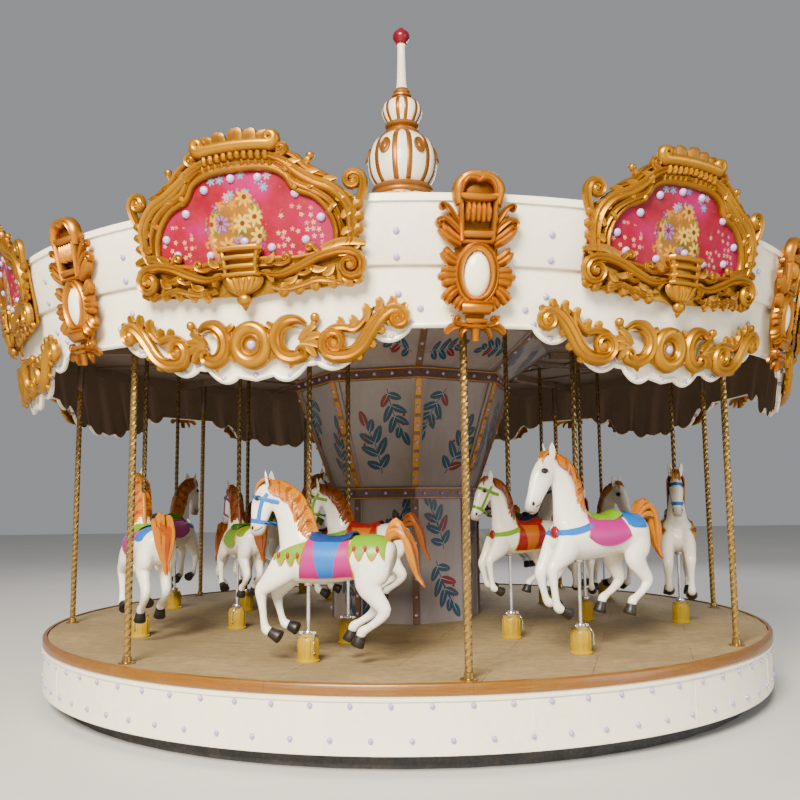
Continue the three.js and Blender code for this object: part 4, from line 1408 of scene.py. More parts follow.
# Drum: sheets with sprigs, gilt corner strips, and belts with beads and bulbs
drum = {
    "levels": {"lower": (0.5, 0.67, 1.57, 0.67), "flare": (1.67, 0.67, 2.58, 1.0),
               "crown": (2.68, 1.0, 2.99, 1.42)},
    "belts": ((1.57, 1.67, 0.698), (2.58, 2.68, 1.028)),
    "bulbSpacing": 0.155,
    "stripProud": 0.0165,
    "bulbRadius": 0.015,
    "leafGap": 0.0012,
}
cornerShare = math.cos(math.pi / ride["bays"])


def drumRadius(level, z):
    lowZ, lowRadius, highZ, highRadius = drum["levels"][level]
    return lowRadius + (highRadius - lowRadius) * (z - lowZ) / (highZ - lowZ)


def panelEnds(panel, radius):
    angles = (panel * bayAngle, (panel + 1) * bayAngle)
    return [Vector((math.sin(angle), -math.cos(angle), 0)) * radius for angle in angles]


def onDrum(level, panel, share, z, depth=0.0):
    # A point on the panel between two corners; share runs from one corner to the next, depth outwards
    lowZ, lowRadius, highZ, highRadius = drum["levels"][level]
    first, second = panelEnds(panel, drumRadius(level, z))
    middle = (panel + 0.5) * bayAngle
    lean = math.atan2((highRadius - lowRadius) * cornerShare, highZ - lowZ)
    normal = Vector((math.sin(middle) * math.cos(lean), -math.cos(middle) * math.cos(lean), -math.sin(lean)))
    point = first.lerp(second, share) + normal * depth
    return Vector((point.x, point.y, z + normal.z * depth))


def addSprig(bm, level, panel, centre, size, turn, layers):
    # A curved stem with paired oval leaves, pale veins and a few berries, laid flat on a panel
    def place(x, y, depth):
        angle = math.radians(turn)
        across = (x * math.cos(angle) - y * math.sin(angle)) * size
        up = (x * math.sin(angle) + y * math.cos(angle)) * size
        z = centre[1] + up
        width = 2 * drumRadius(level, z) * math.sin(bayAngle / 2)
        return onDrum(level, panel, 0.5 + (centre[0] + across) / width, z, depth)

    def patch(points, depth, index):
        face = bm.faces.new([bm.verts.new(place(x, y, depth)) for x, y in points])
        face.material_index = index

    def oval(x, y, angle, length, wide):
        points = []
        for k in range(10):
            t = k * math.pi / 5
            along = 0.5 * length * (1 - math.cos(t))
            side = 0.5 * wide * math.sin(t) * (1.15 - 0.35 * along / length)
            points.append((x + along * math.cos(angle) - side * math.sin(angle),
                           y + along * math.sin(angle) + side * math.cos(angle)))
        return points
    gap = drum["leafGap"]
    stem = [(0.10 * math.sin(2.4 * t), -0.5 + t) for t in [k / 8 for k in range(9)]]
    edge = [(x - 0.010, y) for x, y in stem] + [(x + 0.010, y) for x, y in reversed(stem)]
    patch(edge, gap, 0)
    for k, (step, side, length) in enumerate(((1, 1, 0.34), (1, -1, 0.32), (3, 1, 0.42), (3, -1, 0.40),
                                              (5, 1, 0.40), (5, -1, 0.37), (7, 1, 0.27), (8, 0, 0.33))):
        x, y = stem[step]
        angle = math.pi / 2 - side * (0.95 - 0.05 * k)
        patch(oval(x, y, angle, length, 0.175), gap * (1 + 0.15 * k), 1 if k == layers % 8 else 0)
        tip = (x + 0.9 * length * math.cos(angle), y + 0.9 * length * math.sin(angle))
        side = (-0.007 * math.sin(angle), 0.007 * math.cos(angle))
        patch([(x - side[0], y - side[1]), (x + side[0], y + side[1]), tip], gap * (1.1 + 0.15 * k), 2)
    for k in range(3):
        x, y = stem[6]
        x -= 0.11 + 0.05 * k
        y += 0.10 - 0.09 * k
        patch([(x + 0.032 * math.cos(a * math.pi / 4), y + 0.032 * math.sin(a * math.pi / 4))
               for a in range(8)], gap * 2.3, 1)


def makeDrumPrints():
    bm = bmesh.new()
    plan = [("flare", -0.09, 1.99, 0.42, 18), ("flare", 0.16, 2.33, 0.38, -160),
            ("lower", 0.05, 1.31, 0.40, -24), ("lower", -0.05, 0.85, 0.41, 152),
            ("crown", 0.24, 2.83, 0.26, 70), ("crown", -0.26, 2.84, 0.24, -100)]
    for panel in bays:
        for k, (level, across, z, size, turn) in enumerate(plan):
            side = 1 if panel % 2 else -1
            addSprig(bm, level, panel, (side * across, z), size, side * turn, panel + k)
    bmesh.ops.triangulate(bm, faces=bm.faces[:])
    for face in bm.faces:
        middle = face.calc_center_median()
        if face.normal.dot(Vector((middle.x, middle.y, 0))) < 0:
            face.normal_flip()
    prints = [gloss("sprigTeal", (0.003, 0.055, 0.105)), gloss("sprigRed", (0.19, 0.007, 0.010)),
              gloss("sprigVein", (0.42, 0.50, 0.52))]
    finishPiece("drum_sprigs", bm, prints)


def makeDrumTrim():
    brownStrips, goldStrips, bulbs, beads = [bmesh.new() for _ in range(4)]
    spacing = drum["bulbSpacing"]

    def bulbLine(start, end, offset, count):
        for k in range(count):
            addBall(bulbs, start.lerp(end, (k + 0.5) / count) + offset, drum["bulbRadius"], fine=0)

    for corner in bays:
        turn = turnZ(corner * bayAngle)
        out = turn @ Vector((0, -1, 0))
        for level, (lowZ, lowRadius, highZ, highRadius) in drum["levels"].items():
            start = turn @ Vector((0, -lowRadius - drum["stripProud"], lowZ + 0.004))
            end = turn @ Vector((0, -highRadius - drum["stripProud"], highZ - 0.004))
            target = goldStrips if level == "flare" else brownStrips
            addBar(target, start, end, 0.058, 0.008, up=out, bevel=0.002)
            for side in (-1, 1):
                offset = turn @ Vector((side * 0.026, 0, 0)) + out * 0.004
                addBar(target, start + offset, end + offset, 0.007, 0.007, up=out, bevel=0.002)
            count = max(1, round((end - start).length / spacing))
            bulbLine(start, end, out * 0.006, count)
            if level == "flare":
                rise = (end - start).normalized() * 0.016
                for k in range(count):
                    band = start.lerp(end, k / count) + out * 0.006
                    addBar(brownStrips, band - rise, band + rise, 0.052, 0.004, up=out, bevel=0.001)
    for lowZ, highZ, radius in drum["belts"]:
        for panel in bays:
            first, second = panelEnds(panel, radius + 0.002)
            out = rimPoint((panel + 0.5) * bayAngle, 1)
            for z in (lowZ + 0.008, highZ - 0.008):
                rise = Vector((0, 0, z))
                addBar(beads, first + rise, second + rise, 0.012, 0.012, up=out, bevel=0.003)
            bulbLine(first, second, Vector((0, 0, (lowZ + highZ) / 2)) + out * 0.004,
                     round((second - first).length / spacing))
    brown = makeMetalPaint("stripBrown", (0.095, 0.042, 0.018), 0.4, 0.3, 0.3)
    amber = makeMetalPaint("stripGold", (0.34, 0.14, 0.002), 0.4, 0.4, 0.2)
    finishPiece("drum_strips", brownStrips, [brown])
    finishPiece("drum_gold_strips", goldStrips, [amber])
    finishPiece("drum_beads", beads, [amber])
    finishPiece("drum_bulbs", bulbs, [pearl])


def makeDrumSheet():
    # Printed sheet, mauve grey, with stains; the grey is darker than the sheet's own pale grey, as painted
    # shade under the canopy
    finish = Finish("drumSheet", 0.45, coat=0.15)
    tone = finish.mottle(2.0, 5.0, (0.30, 0.255, 0.245), (0.235, 0.195, 0.19))
    tone = finish.dust(finish.streaks(tone, 4.0, 0.5, (0.17, 0.135, 0.115)), 2.2, 0.5, (0.22, 0.18, 0.15))
    return finish.complete(tone, (6.0, 0.32, 0.6), (3.0, 3.0, 0.12, 0.01))


makeDrumPrints()
makeDrumTrim()
drumSheet = makeDrumSheet()
maroon = makeMetalPaint("beltMaroon", (0.060, 0.018, 0.014), 0.4, 0.2, 0.3)
for nodeName in ("drum_lower", "drum_flare", "drum_crown"):
    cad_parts[nodeName].material_slots[0].material = drumSheet
for nodeName in ("drum_belt_lower", "drum_belt_upper"):
    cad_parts[nodeName].material_slots[0].material = maroon
print("drum ready")


# Finial: a gored bulb, a petalled cup, a flared spire and a ball
finial = {
    "gores": 6,
    "ribHalf": 12.5,
    "heading": -6.9,
    "bulb": [(0.165, 5.185), (0.172, 5.150), (0.235, 5.108), (0.292, 5.050), (0.322, 4.980), (0.338, 4.910),
             (0.341, 4.850), (0.334, 4.780), (0.315, 4.710), (0.280, 4.650), (0.245, 4.612)],
    "medallionZ": 4.945,
    "medallionSize": (0.050, 0.078),
    "medallionSlope": -0.28,
}


def radiusAt(profile, z):
    for (radiusA, zA), (radiusB, zB) in zip(profile, profile[1:]):
        if min(zA, zB) <= z <= max(zA, zB):
            return radiusA + (radiusB - radiusA) * (z - zA) / (zB - zA)
    return profile[-1][0]


def addStripe(bm, profile, angle, wide, thick):
    # A raised band that runs down a turned form at one azimuth
    widest = max(radius for radius, _ in profile)
    route = [Vector((0, -radius, z)) for radius, z in profile]
    kept = set(bm.verts)
    sweep(bm, route, [wide * (0.25 + 0.75 * radius / widest) for radius, _ in profile], thick, "relief", 8,
          upright=(0, -1, 0.001))
    spinVerts(bm, angle, [vert for vert in bm.verts if vert not in kept])


def swellGores(bm, depth):
    # Narrow ribs and wide gores swell between their seams
    rib = math.radians(finial["ribHalf"])
    step = 2 * math.pi / finial["gores"]
    for vert in bm.verts:
        angle = abs((math.atan2(vert.co.x, -vert.co.y) + step / 2) % step - step / 2)
        share = angle / rib if angle < rib else (step / 2 - angle) / (step / 2 - rib)
        dip = 1 - depth + depth * math.sqrt(max(0, 1 - share ** 2))
        vert.co.x *= dip
        vert.co.y *= dip


def seamAngles():
    return [k * 2 * math.pi / finial["gores"] + side * math.radians(finial["ribHalf"])
            for k in range(finial["gores"]) for side in (-1, 1)]


def turnFinial(bm):
    # One rib faces the side the photograph is taken from
    spinVerts(bm, math.radians(finial["heading"]), bm.verts[:])


def makeFinialBulb():
    bm = bmesh.new()
    profile = smoothProfile(finial["bulb"], 3)
    addLathe(bm, [(0, 5.185)] + profile + [(0, 4.612)], 144)
    swellGores(bm, 0.035)
    kept = set(bm.faces)
    low = finial["bulb"][-1][1]
    addLathe(bm, [(0, low), (0.262, low), (0.298, 4.600), (0.302, 4.588), (0.290, 4.572), (0.282, 4.560),
                  (0.300, 4.548), (0.306, 4.530), (0.300, 4.512), (0.286, 4.502), (0.286, 4.4703),
                  (0, 4.4703)], 72)
    addLathe(bm, [(0, 5.140), (0.178, 5.140), (0.186, 5.152), (0.182, 5.166), (0.168, 5.172),
                  (0.172, 5.186), (0.160, 5.190), (0, 5.190)], 48)
    for angle in seamAngles():
        addStripe(bm, [(radius * 0.974, z) for radius, z in profile[1:-1]], angle, 0.034, 0.009)
    for k in range(finial["gores"]):
        addMedallion(bm, profile, (k + 0.5) * 2 * math.pi / finial["gores"])
    paintNew(bm, kept, 1)
    turnFinial(bm)
    finishPiece("gored_bulb", bm, [finialWhite, finialGold], ("finial_bulb",))


def addMedallion(bm, profile, angle):
    # Oval plaque with a raised rim and a small boss
    z = finial["medallionZ"]
    wide, high = finial["medallionSize"]
    kept = set(bm.verts)
    rim = [Vector((wide * math.sin(k * math.pi / 10), 0, high * math.cos(k * math.pi / 10)))
           for k in range(22)]
    sweep(bm, rim, 0.011, 0.012, "relief", 8)
    addEgg(bm, (0, 0, 0), (wide, 0.008, high), 16, 8)
    addEgg(bm, (0, 0, 0), (wide * 0.45, 0.016, high * 0.5), 12, 6)
    place = (turnZ(angle) @ Matrix.Translation((0, -radiusAt(profile, z) - 0.001, z))
             @ Matrix.Rotation(finial["medallionSlope"], 4, "X"))
    bmesh.ops.transform(bm, matrix=place, verts=[vert for vert in bm.verts if vert not in kept])


def smoothProfile(points, steps):
    route = smoothRoute([Vector((radius, 0, z)) for radius, z in points], steps)
    return [(point.x, point.z) for point in route]


def makeFinialCup():
    bm = bmesh.new()
    petals = smoothProfile([(0.112, 5.508), (0.150, 5.494), (0.186, 5.458), (0.199, 5.410), (0.196, 5.366),
                            (0.176, 5.318), (0.152, 5.276), (0.140, 5.256)], 3)
    addLathe(bm, [(0, 5.508)] + petals + [(0, 5.256)], 144)
    swellGores(bm, 0.07)
    kept = set(bm.faces)
    addLathe(bm, [(0, 5.270), (0.150, 5.270), (0.164, 5.262), (0.168, 5.250), (0.162, 5.238),
                  (0.146, 5.228), (0.134, 5.216), (0.128, 5.204), (0.134, 5.1903), (0, 5.1903)], 64)
    addLathe(bm, [(0, 5.500), (0.118, 5.500), (0.124, 5.512), (0.112, 5.524), (0.084, 5.532),
                  (0.084, 5.544), (0.098, 5.552), (0.100, 5.566), (0.092, 5.578), (0.074, 5.584),
                  (0.078, 5.596), (0.082, 5.606), (0.076, 5.620), (0.064, 5.628), (0.062, 5.640),
                  (0, 5.640)], 48)
    for angle in seamAngles():
        addStripe(bm, [(radius * 0.948, z) for radius, z in petals], angle, 0.026, 0.010)
    paintNew(bm, kept, 1)
    turnFinial(bm)
    finishPiece("petalled_cup", bm, [finialWhite, finialGold], ("finial_cup",))


def makeFinialTop():
    bm = bmesh.new()
    addLathe(bm, [(0, 5.6403), (0.057, 5.6403), (0.0565, 5.655), (0.051, 5.675), (0.047, 5.72),
                  (0.043, 5.84), (0.0395, 5.98), (0.038, 6.085), (0.044, 6.100), (0.044, 6.110),
                  (0, 6.110)], 40)
    finishPiece("flared_spire", bm, [finialWhite], ("finial_spire",))
    bm = bmesh.new()
    points = [(0.044, 6.1103), (0.054, 6.116), (0.054, 6.128), (0.050, 6.134)]
    points += [(0.085 * math.sin(angle), 6.200 - 0.072 * math.cos(angle))
               for angle in [0.7 + 0.17 * k for k in range(13)]]
    addLathe(bm, [(0, 6.1103)] + points + [(0.030, 6.270), (0.026, 6.284), (0.012, 6.291), (0, 6.292)], 40)
    ball = makeGloss("crimsonBall", (0.17, 0.0, 0.010), (0.11, 0.0, 0.007), 0.3, 0.2, 0.15,
                     (0.12, 0.02, 0.02), 12.0)
    finishPiece("crimson_ball", bm, [ball], ("finial_ball",))


finialWhite = makeGloss("finialWhite", (0.86, 0.79, 0.61), (0.78, 0.70, 0.52), 0.32, 0.2, 0.3,
                        (0.40, 0.31, 0.19), 5.0)
finialGold = makeMetalPaint("finialGold", (0.30, 0.098, 0.002), 0.4, 0.6, 0.2)

makeFinialBulb()
makeFinialCup()
makeFinialTop()
print("finial ready")


# Horses. Each is modelled facing X with its pole at X = 0 and its barrel centre at Z = 0, in millimetres
horse = {
    "voxel": 0.0095,
    "skinFaces": 7600,
    "smooth": 4,
    "innerScale": 0.8,
    "rows": {"outer": (1.230, [60, 20, -80, -30, 80, 40, -20, -62]),
             "inner": (1.210, [50, -40, 80, 10, -70, -50, 20, 49])},
    "poleRadius": 0.019,
    "rodRadius": 0.0128,
    "maneLocks": 18,
    "tailLocks": 17,
    "clothReach": 0.186,
}
# Stations of each form: x, y, z, half size in the side view, half size across
barrelForm = [(206, 0, 10, 40, 46), (188, 0, 6, 98, 92), (130, 0, 2, 146, 128), (40, 0, -2, 158, 142),
              (-80, 0, -6, 154, 149), (-200, 0, -4, 146, 150), (-320, 0, 8, 140, 146),
              (-430, 0, 14, 146, 148), (-520, 0, 16, 136, 136), (-575, 0, 12, 106, 108),
              (-600, 0, 8, 62, 66)]
legForms = (
    [(120, 72, -20, 110, 58), (180, 84, -90, 92, 58), (258, 88, -160, 62, 48), (302, 88, -205, 46, 44),
     (300, 88, -262, 33, 33), (288, 88, -345, 24, 25), (278, 88, -420, 26, 27), (262, 88, -458, 34, 34),
     (228, 88, -476, 30, 31)],
    [(112, -72, -20, 110, 58), (160, -84, -100, 92, 58), (224, -88, -186, 60, 48), (262, -88, -240, 46, 44),
     (258, -88, -296, 32, 33), (240, -88, -362, 24, 25), (222, -88, -418, 26, 27), (200, -88, -442, 33, 34),
     (168, -88, -452, 30, 31)],
    [(-470, 66, 20, 128, 74), (-468, 82, -70, 120, 70), (-452, 88, -160, 92, 56), (-500, 88, -238, 62, 42),
     (-556, 88, -312, 46, 37), (-520, 88, -372, 31, 29), (-455, 88, -420, 26, 26), (-408, 88, -448, 33, 33),
     (-392, 88, -482, 30, 31)],
    [(-455, -66, 20, 124, 74), (-440, -82, -70, 116, 70), (-400, -88, -160, 88, 56),
     (-422, -88, -240, 60, 42), (-452, -88, -310, 46, 37), (-405, -88, -368, 31, 29),
     (-336, -88, -412, 26, 26), (-290, -88, -440, 33, 33), (-276, -88, -474, 30, 31)],
)
hoofForms = (
    [(236, 88, -470, 33, 34), (208, 88, -484, 38, 40), (170, 88, -500, 46, 48), (164, 88, -503, 43, 45)],
    [(176, -88, -450, 33, 34), (150, -88, -458, 38, 40), (118, -88, -470, 44, 46), (113, -88, -472, 41, 43)],
    [(-393, 88, -476, 33, 34), (-386, 88, -500, 38, 40), (-372, 88, -536, 46, 48), (-370, 88, -541, 43, 45)],
    [(-277, -88, -468, 33, 34), (-268, -88, -494, 38, 40), (-252, -88, -530, 46, 48),
     (-250, -88, -535, 43, 45)],
)
neckForms = {
    "bowed": [(40, 0, 20, 150, 112), (66, 0, 110, 142, 92), (92, 0, 200, 128, 74), (128, 0, 295, 110, 60),
              (188, 0, 385, 92, 51), (252, 0, 438, 80, 46), (300, 0, 452, 66, 42)],
    "up": [(36, 0, 20, 150, 112), (56, 0, 120, 142, 92), (74, 0, 220, 128, 74), (98, 0, 325, 110, 60),
           (140, 0, 420, 95, 52), (196, 0, 480, 84, 46), (240, 0, 498, 66, 42)],
}
headForms = {
    "bowed": [(262, 0, 470, 46, 38), (296, 0, 440, 82, 46), (330, 0, 386, 83, 56), (350, 0, 320, 74, 51),
              (362, 0, 262, 61, 42), (370, 0, 212, 56, 41), (374, 0, 176, 50, 41), (374, 0, 152, 34, 31)],
    "up": [(196, 0, 522, 46, 38), (240, 0, 494, 84, 46), (290, 0, 430, 87, 57), (328, 0, 356, 77, 52),
           (358, 0, 290, 63, 43), (382, 0, 236, 57, 42), (398, 0, 198, 51, 42), (406, 0, 172, 35, 32)],
}
crestLines = {
    "bowed": [(-58, 175), (-30, 262), (6, 345), (62, 425), (132, 482), (210, 516), (292, 516)],
    "up": [(-62, 175), (-44, 280), (-22, 370), (18, 455), (78, 524), (150, 560), (226, 566)],
}
tailLine = [(-548, 0, 118), (-590, 0, 178), (-652, 0, 186), (-700, 0, 110), (-724, 0, 0), (-752, 0, -96),
            (-796, 0, -168)]


def addForm(bm, stations, segments=14, steps=3):
    # A rounded form through its stations
    line = smoothRoute([Vector(station) / 1000 for station in stations], steps)
    sweep(bm, [Vector(part[:3]) for part in line], [max(part[3], 0.004) for part in line],
          [max(part[4], 0.004) for part in line], "round", segments)


def makeSkin(pose):
    # Blends the barrel, neck, head and legs into one closed skin
    bm = bmesh.new()
    addForm(bm, barrelForm, 24)
    addForm(bm, neckForms[pose], 20)
    addForm(bm, headForms[pose], 18)
    for stations in legForms:
        addForm(bm, stations)
    mesh = toMesh("skin", bm)
    rough = bpy.data.objects.new("skin", mesh)
    bpy.context.scene.collection.objects.link(rough)
    remesh = rough.modifiers.new("blend", "REMESH")
    remesh.mode = "VOXEL"
    remesh.voxel_size = horse["voxel"]
    soften = rough.modifiers.new("soften", "SMOOTH")
    soften.factor = 0.5
    soften.iterations = horse["smooth"]
    thin = rough.modifiers.new("thin", "DECIMATE")
    depsgraph = bpy.context.evaluated_depsgraph_get()
    depsgraph.update()
    count = len(rough.evaluated_get(depsgraph).data.loop_triangles) or 1
    thin.ratio = min(1.0, horse["skinFaces"] / count)
    bpy.context.view_layer.update()
    depsgraph = bpy.context.evaluated_depsgraph_get()
    skin = bpy.data.meshes.new_from_object(rough.evaluated_get(depsgraph))
    bpy.data.objects.remove(rough)
    bpy.data.meshes.remove(mesh)
    return skin


def onSkin(tree, start, toward, offset):
    # The point of the skin that a ray meets, lifted by the offset, and the direction outwards there
    start, toward = Vector(start), Vector(toward)
    hit, normal, _, _ = tree.ray_cast(start, (toward - start).normalized())
    if hit is None:
        hit, normal, _, _ = tree.find_nearest(toward)
    return hit + normal * offset, normal


def addStrap(bm, tree, rays, wide, thick, lift=0.001, closed=False, segments=6):
    # A strap laid over the skin where each ray meets it
    points = [onSkin(tree, start, toward, lift) for start, toward in rays]
    if closed:
        points += points[:2]
    sweep(bm, [point for point, _ in points], wide, thick, "round", segments,
          upright=[normal for _, normal in points])


def aroundHead(pose, share, tilt=0.0, count=16):
    # Rays towards the head's centre line from all round it
    stations = headForms[pose]
    place = share * (len(stations) - 1)
    low = min(int(place), len(stations) - 2)
    first, second = Vector(stations[low][:3]), Vector(stations[low + 1][:3])
    centre = first.lerp(second, place - low) / 1000
    along = (second - first).normalized()
    along = (Matrix.Rotation(tilt, 3, "Y") @ along).normalized()
    side = Vector((0, 1, 0))
    front = along.cross(side).normalized()
    rays = []
    for k in range(count):
        angle = 2 * math.pi * k / count
        away = front * math.cos(angle) + side * math.sin(angle)
        rays.append((centre + away * 0.3, centre))
    return rays


def drape(bm, tree, rows, lift, thickness):
    # A cloth over the barrel; rows hold (x, angle from the top) pairs and lift may vary with both
    grid = []
    for row in rows:
        line = []
        for x, angle in row:
            centre = Vector((x / 1000, 0, 0))
            away = Vector((0, math.sin(angle), math.cos(angle)))
            height = lift(x, angle) if callable(lift) else lift
            point = onSkin(tree, centre + away * 0.5, centre, height)[0]
            reach = (point - centre).length
            if reach > horse["clothReach"]:
                point = centre + away * horse["clothReach"]
            line.append(bm.verts.new(point))
        grid.append(line)
    faces = []
    for upper, lower in zip(grid, grid[1:]):
        for k in range(len(upper) - 1):
            faces.append(bm.faces.new((upper[k], upper[k + 1], lower[k + 1], lower[k])))
    bmesh.ops.recalc_face_normals(bm, faces=faces)
    if faces[0].normal.dot(faces[0].calc_center_median() - Vector((rows[0][0][0] / 1000, 0, 0))) < 0:
        bmesh.ops.reverse_faces(bm, faces=faces)
    bmesh.ops.solidify(bm, geom=faces, thickness=thickness)
    return grid


# Slot of the darker locks among a horse's materials
deepHair = 13


def hairMaterial(name, bright, deep):
    finish = Finish(name, 0.42, coat=0.08, specular=0.35)
    # Hollow parts get painted shade and rounded edges a painted highlight
    tone = finish.shadeHollows(finish.mottle(9.0, 4.0, bright, deep, -0.4, 1.2), 9.0, shaded(deep, 0.3))
    return finish.complete(finish.edges(tone, 7.0, shaded(bright, 1.5)), (20.0, 0.25, 0.5),
                           (70.0, 3.0, 0.15, 0.002))


def addMane(bm, pose, generator):
    # Locks fall from the crest on both sides, with a forelock between the ears
    crest = smoothRoute([Vector((x, 0, z)) / 1000 for x, z in crestLines[pose]], 6)
    count = horse["maneLocks"]
    sweep(bm, crest, 0.016, 0.020, "round", 8)
    paintNew(bm, set(), 2)
    for side in (-1, 1):
        for layer in range(2):
            for k in range(count):
                share = (k + 0.5 * layer) / count
                start = crest[int(share * (len(crest) - 1))]
                ahead = crest[min(int(share * (len(crest) - 1)) + 1, len(crest) - 1)]
                along = (ahead - start).normalized()
                inward = Vector((along.z, 0, -along.x))
                length = (0.098 if layer else 0.122) * generator.uniform(0.85, 1.1)
                sway = generator.uniform(-0.012, 0.012)
                route = []
                for step in range(6):
                    t = step / 5
                    wave = 0.013 * math.sin(t * math.pi * 2.4 + 0.7 * k)
                    fall = 0.052 if layer else 0.060
                    across = side * (0.010 + fall * math.sin(min(1, t * 1.4) * math.pi / 2))
                    back = length * 0.62 * t * t + wave + sway * t
                    point = start + inward * (length * t * 0.86 + 0.004) - along * back
                    route.append(point + Vector((0, across, 0.006 * (1 - t))))
                widths = [0.012, 0.015, 0.015, 0.013, 0.010, 0.003]
                kept = set(bm.faces)
                sweep(bm, route, widths, [0.011, 0.012, 0.012, 0.010, 0.008, 0.003], "grooved", 8,
                      upright=(0, side, 0.2))
                paintNew(bm, kept, deepHair if (k + layer) % 3 == 0 else 2)
    top = crest[-1]
    kept = set(bm.faces)
    for k, reach in enumerate((-0.016, 0.0, 0.016)):
        route = [top + Vector((x, reach * (1 + 8 * x), z)) for x, z in
                 ((-0.01, 0.012), (0.03, 0.020), (0.062, 0.0), (0.082, -0.032), (0.090, -0.068))]
        sweep(bm, smoothRoute(route, 2), [0.010, 0.012, 0.013, 0.013, 0.012, 0.010, 0.008, 0.005, 0.003],
              0.010, "round", 7, upright=(0, 1, 0))
    paintNew(bm, kept, 2)


def addTail(bm, generator):
    line = smoothRoute([Vector(point) / 1000 for point in tailLine], 3)
    last = len(line) - 1
    for k in range(horse["tailLocks"]):
        kept = set(bm.faces)
        angle = k * 2.4
        ring = 0.0 if k == 0 else 0.034 + 0.009 * (k % 3)
        twist = generator.uniform(-0.5, 0.5)
        reach = last - (k % 4)
        route = []
        for i in range(reach + 1):
            share = i / last
            spread = ring * (0.35 + 1.0 * math.sin(min(1, share * 1.25) * math.pi) ** 0.8)
            turn = angle + twist * share * 3
            route.append(line[i] + Vector((0, math.sin(turn), math.cos(turn))) * spread
                         + Vector((math.cos(turn) * spread * 0.6, 0, 0)) * (1 if share > 0.3 else 0.2))
        size = [0.0185 * (0.55 + 0.6 * math.sin(math.pi * min(1, (i + 1) / (reach + 1) * 1.05)) ** 0.7)
                for i in range(reach + 1)]
        size[-1] = 0.004
        sweep(bm, route, size, [value * 0.9 for value in size], "round", 6)
        paintNew(bm, kept, deepHair if k % 3 == 0 else 2)


def eyePlace(pose):
    return Vector(headForms[pose][2][:3]) / 1000 + Vector((0.022, 0, 0.020))


def addHeadDetails(bm, tree, pose, straps):
    # Ears, eyes, lids, nostrils and the mouth line; straps chooses the noseband and cheek straps
    line = [Vector(station[:3]) / 1000 for station in headForms[pose]]
    kept = set(bm.faces)
    for side in (-1, 1):
        base = line[1] + Vector((-0.012, side * 0.030, 0.045))
        tip = Vector((0.016, side * 0.020, 0.112))
        route = [base + tip * share for share in (0, 0.25, 0.5, 0.75, 0.92, 1.0)]
        wide = [0.017, 0.024, 0.025, 0.018, 0.008, 0.002]
        thick = [0.012, 0.015, 0.014, 0.011, 0.005, 0.002]
        sweep(bm, route, wide, thick, "grooved", 10, upright=(0.8, side * 0.5, 0))
    paintNew(bm, kept, 0)
    kept = set(bm.faces)
    eyeAt = eyePlace(pose)
    muzzle = line[-3]
    nostril = muzzle + Vector((0.024, 0, -0.004))
    for side in (-1, 1):
        away = Vector((0, side * 0.3, 0))
        addEgg(bm, onSkin(tree, eyeAt + away, eyeAt, -0.004)[0], (1.25, 0.7, 0.95), 12, 8, 0.0185)
        arc = [eyeAt + Vector((0.025 * math.cos(turn), 0, 0.020 * math.sin(turn))) for turn in
               (-0.5, 0.1, 0.7, 1.3, 1.9, 2.5, 3.1, 3.6)]
        addStrap(bm, tree, [(point + away, point) for point in arc], 0.0035, 0.004, 0.001)
        addEgg(bm, onSkin(tree, nostril + away, nostril, -0.001)[0], (0.013, 0.005, 0.015), 10, 6)
        lips = [muzzle + Vector((x, 0, z)) for x, z in
                ((-0.044, 0.004), (-0.030, -0.008), (-0.012, -0.018), (0.010, -0.024))]
        addStrap(bm, tree, [(point + away, point) for point in lips], 0.004, 0.002, 0.0)
    paintNew(bm, kept, 1)
    kept = set(bm.faces)
    if straps:
        addStrap(bm, tree, aroundHead(pose, 0.60), 0.017, 0.004, closed=True)
        addStrap(bm, tree, aroundHead(pose, 0.24, 0.35), 0.017, 0.004, closed=True)
        cheek = [point + Vector((-0.012, 0, 0)) for point in smoothRoute(line[1:5], 3)]
        for side in (-1, 1):
            away = Vector((0, side * 0.3, 0))
            addStrap(bm, tree, [(point + away, point) for point in cheek], 0.016, 0.004)
            badge, _ = onSkin(tree, line[4] + away + Vector((0, 0, 0.004)), line[4], 0.003)
            addBall(bm, badge, 0.013, squash=(1, 0.45, 1), fine=0)
    paintNew(bm, kept, 3)


def rowsFor(lines, angles, count):
    # Rows of a cloth whose side edges follow the lines: each gives x at the top and at the hem
    rows = []
    for angle in angles:
        share = abs(angle) / max(abs(value) for value in angles)
        stops = [top + (hem - top) * share ** power for top, hem, power in lines]
        row = []
        for first, second in zip(stops, stops[1:]):
            row += [(first + (second - first) * k / count, angle) for k in range(count)]
        rows.append(row + [(stops[-1], angle)])
    return rows


def evenly(low, high, count):
    return [low + (high - low) * k / (count - 1) for k in range(count)]


def addPiping(bm, points, radius=0.0048, segments=5):
    out = [(point - Vector((point.x, 0, 0))).normalized() for point in points]
    sweep(bm, points, radius, radius, "round", segments, upright=out)


def gridEdges(grid):
    # The four edges of a cloth: front, back, and both hems
    columns = [[row[0].co.copy() for row in grid], [row[-1].co.copy() for row in grid]]
    return columns + [[vert.co.copy() for vert in grid[0]], [vert.co.copy() for vert in grid[-1]]]


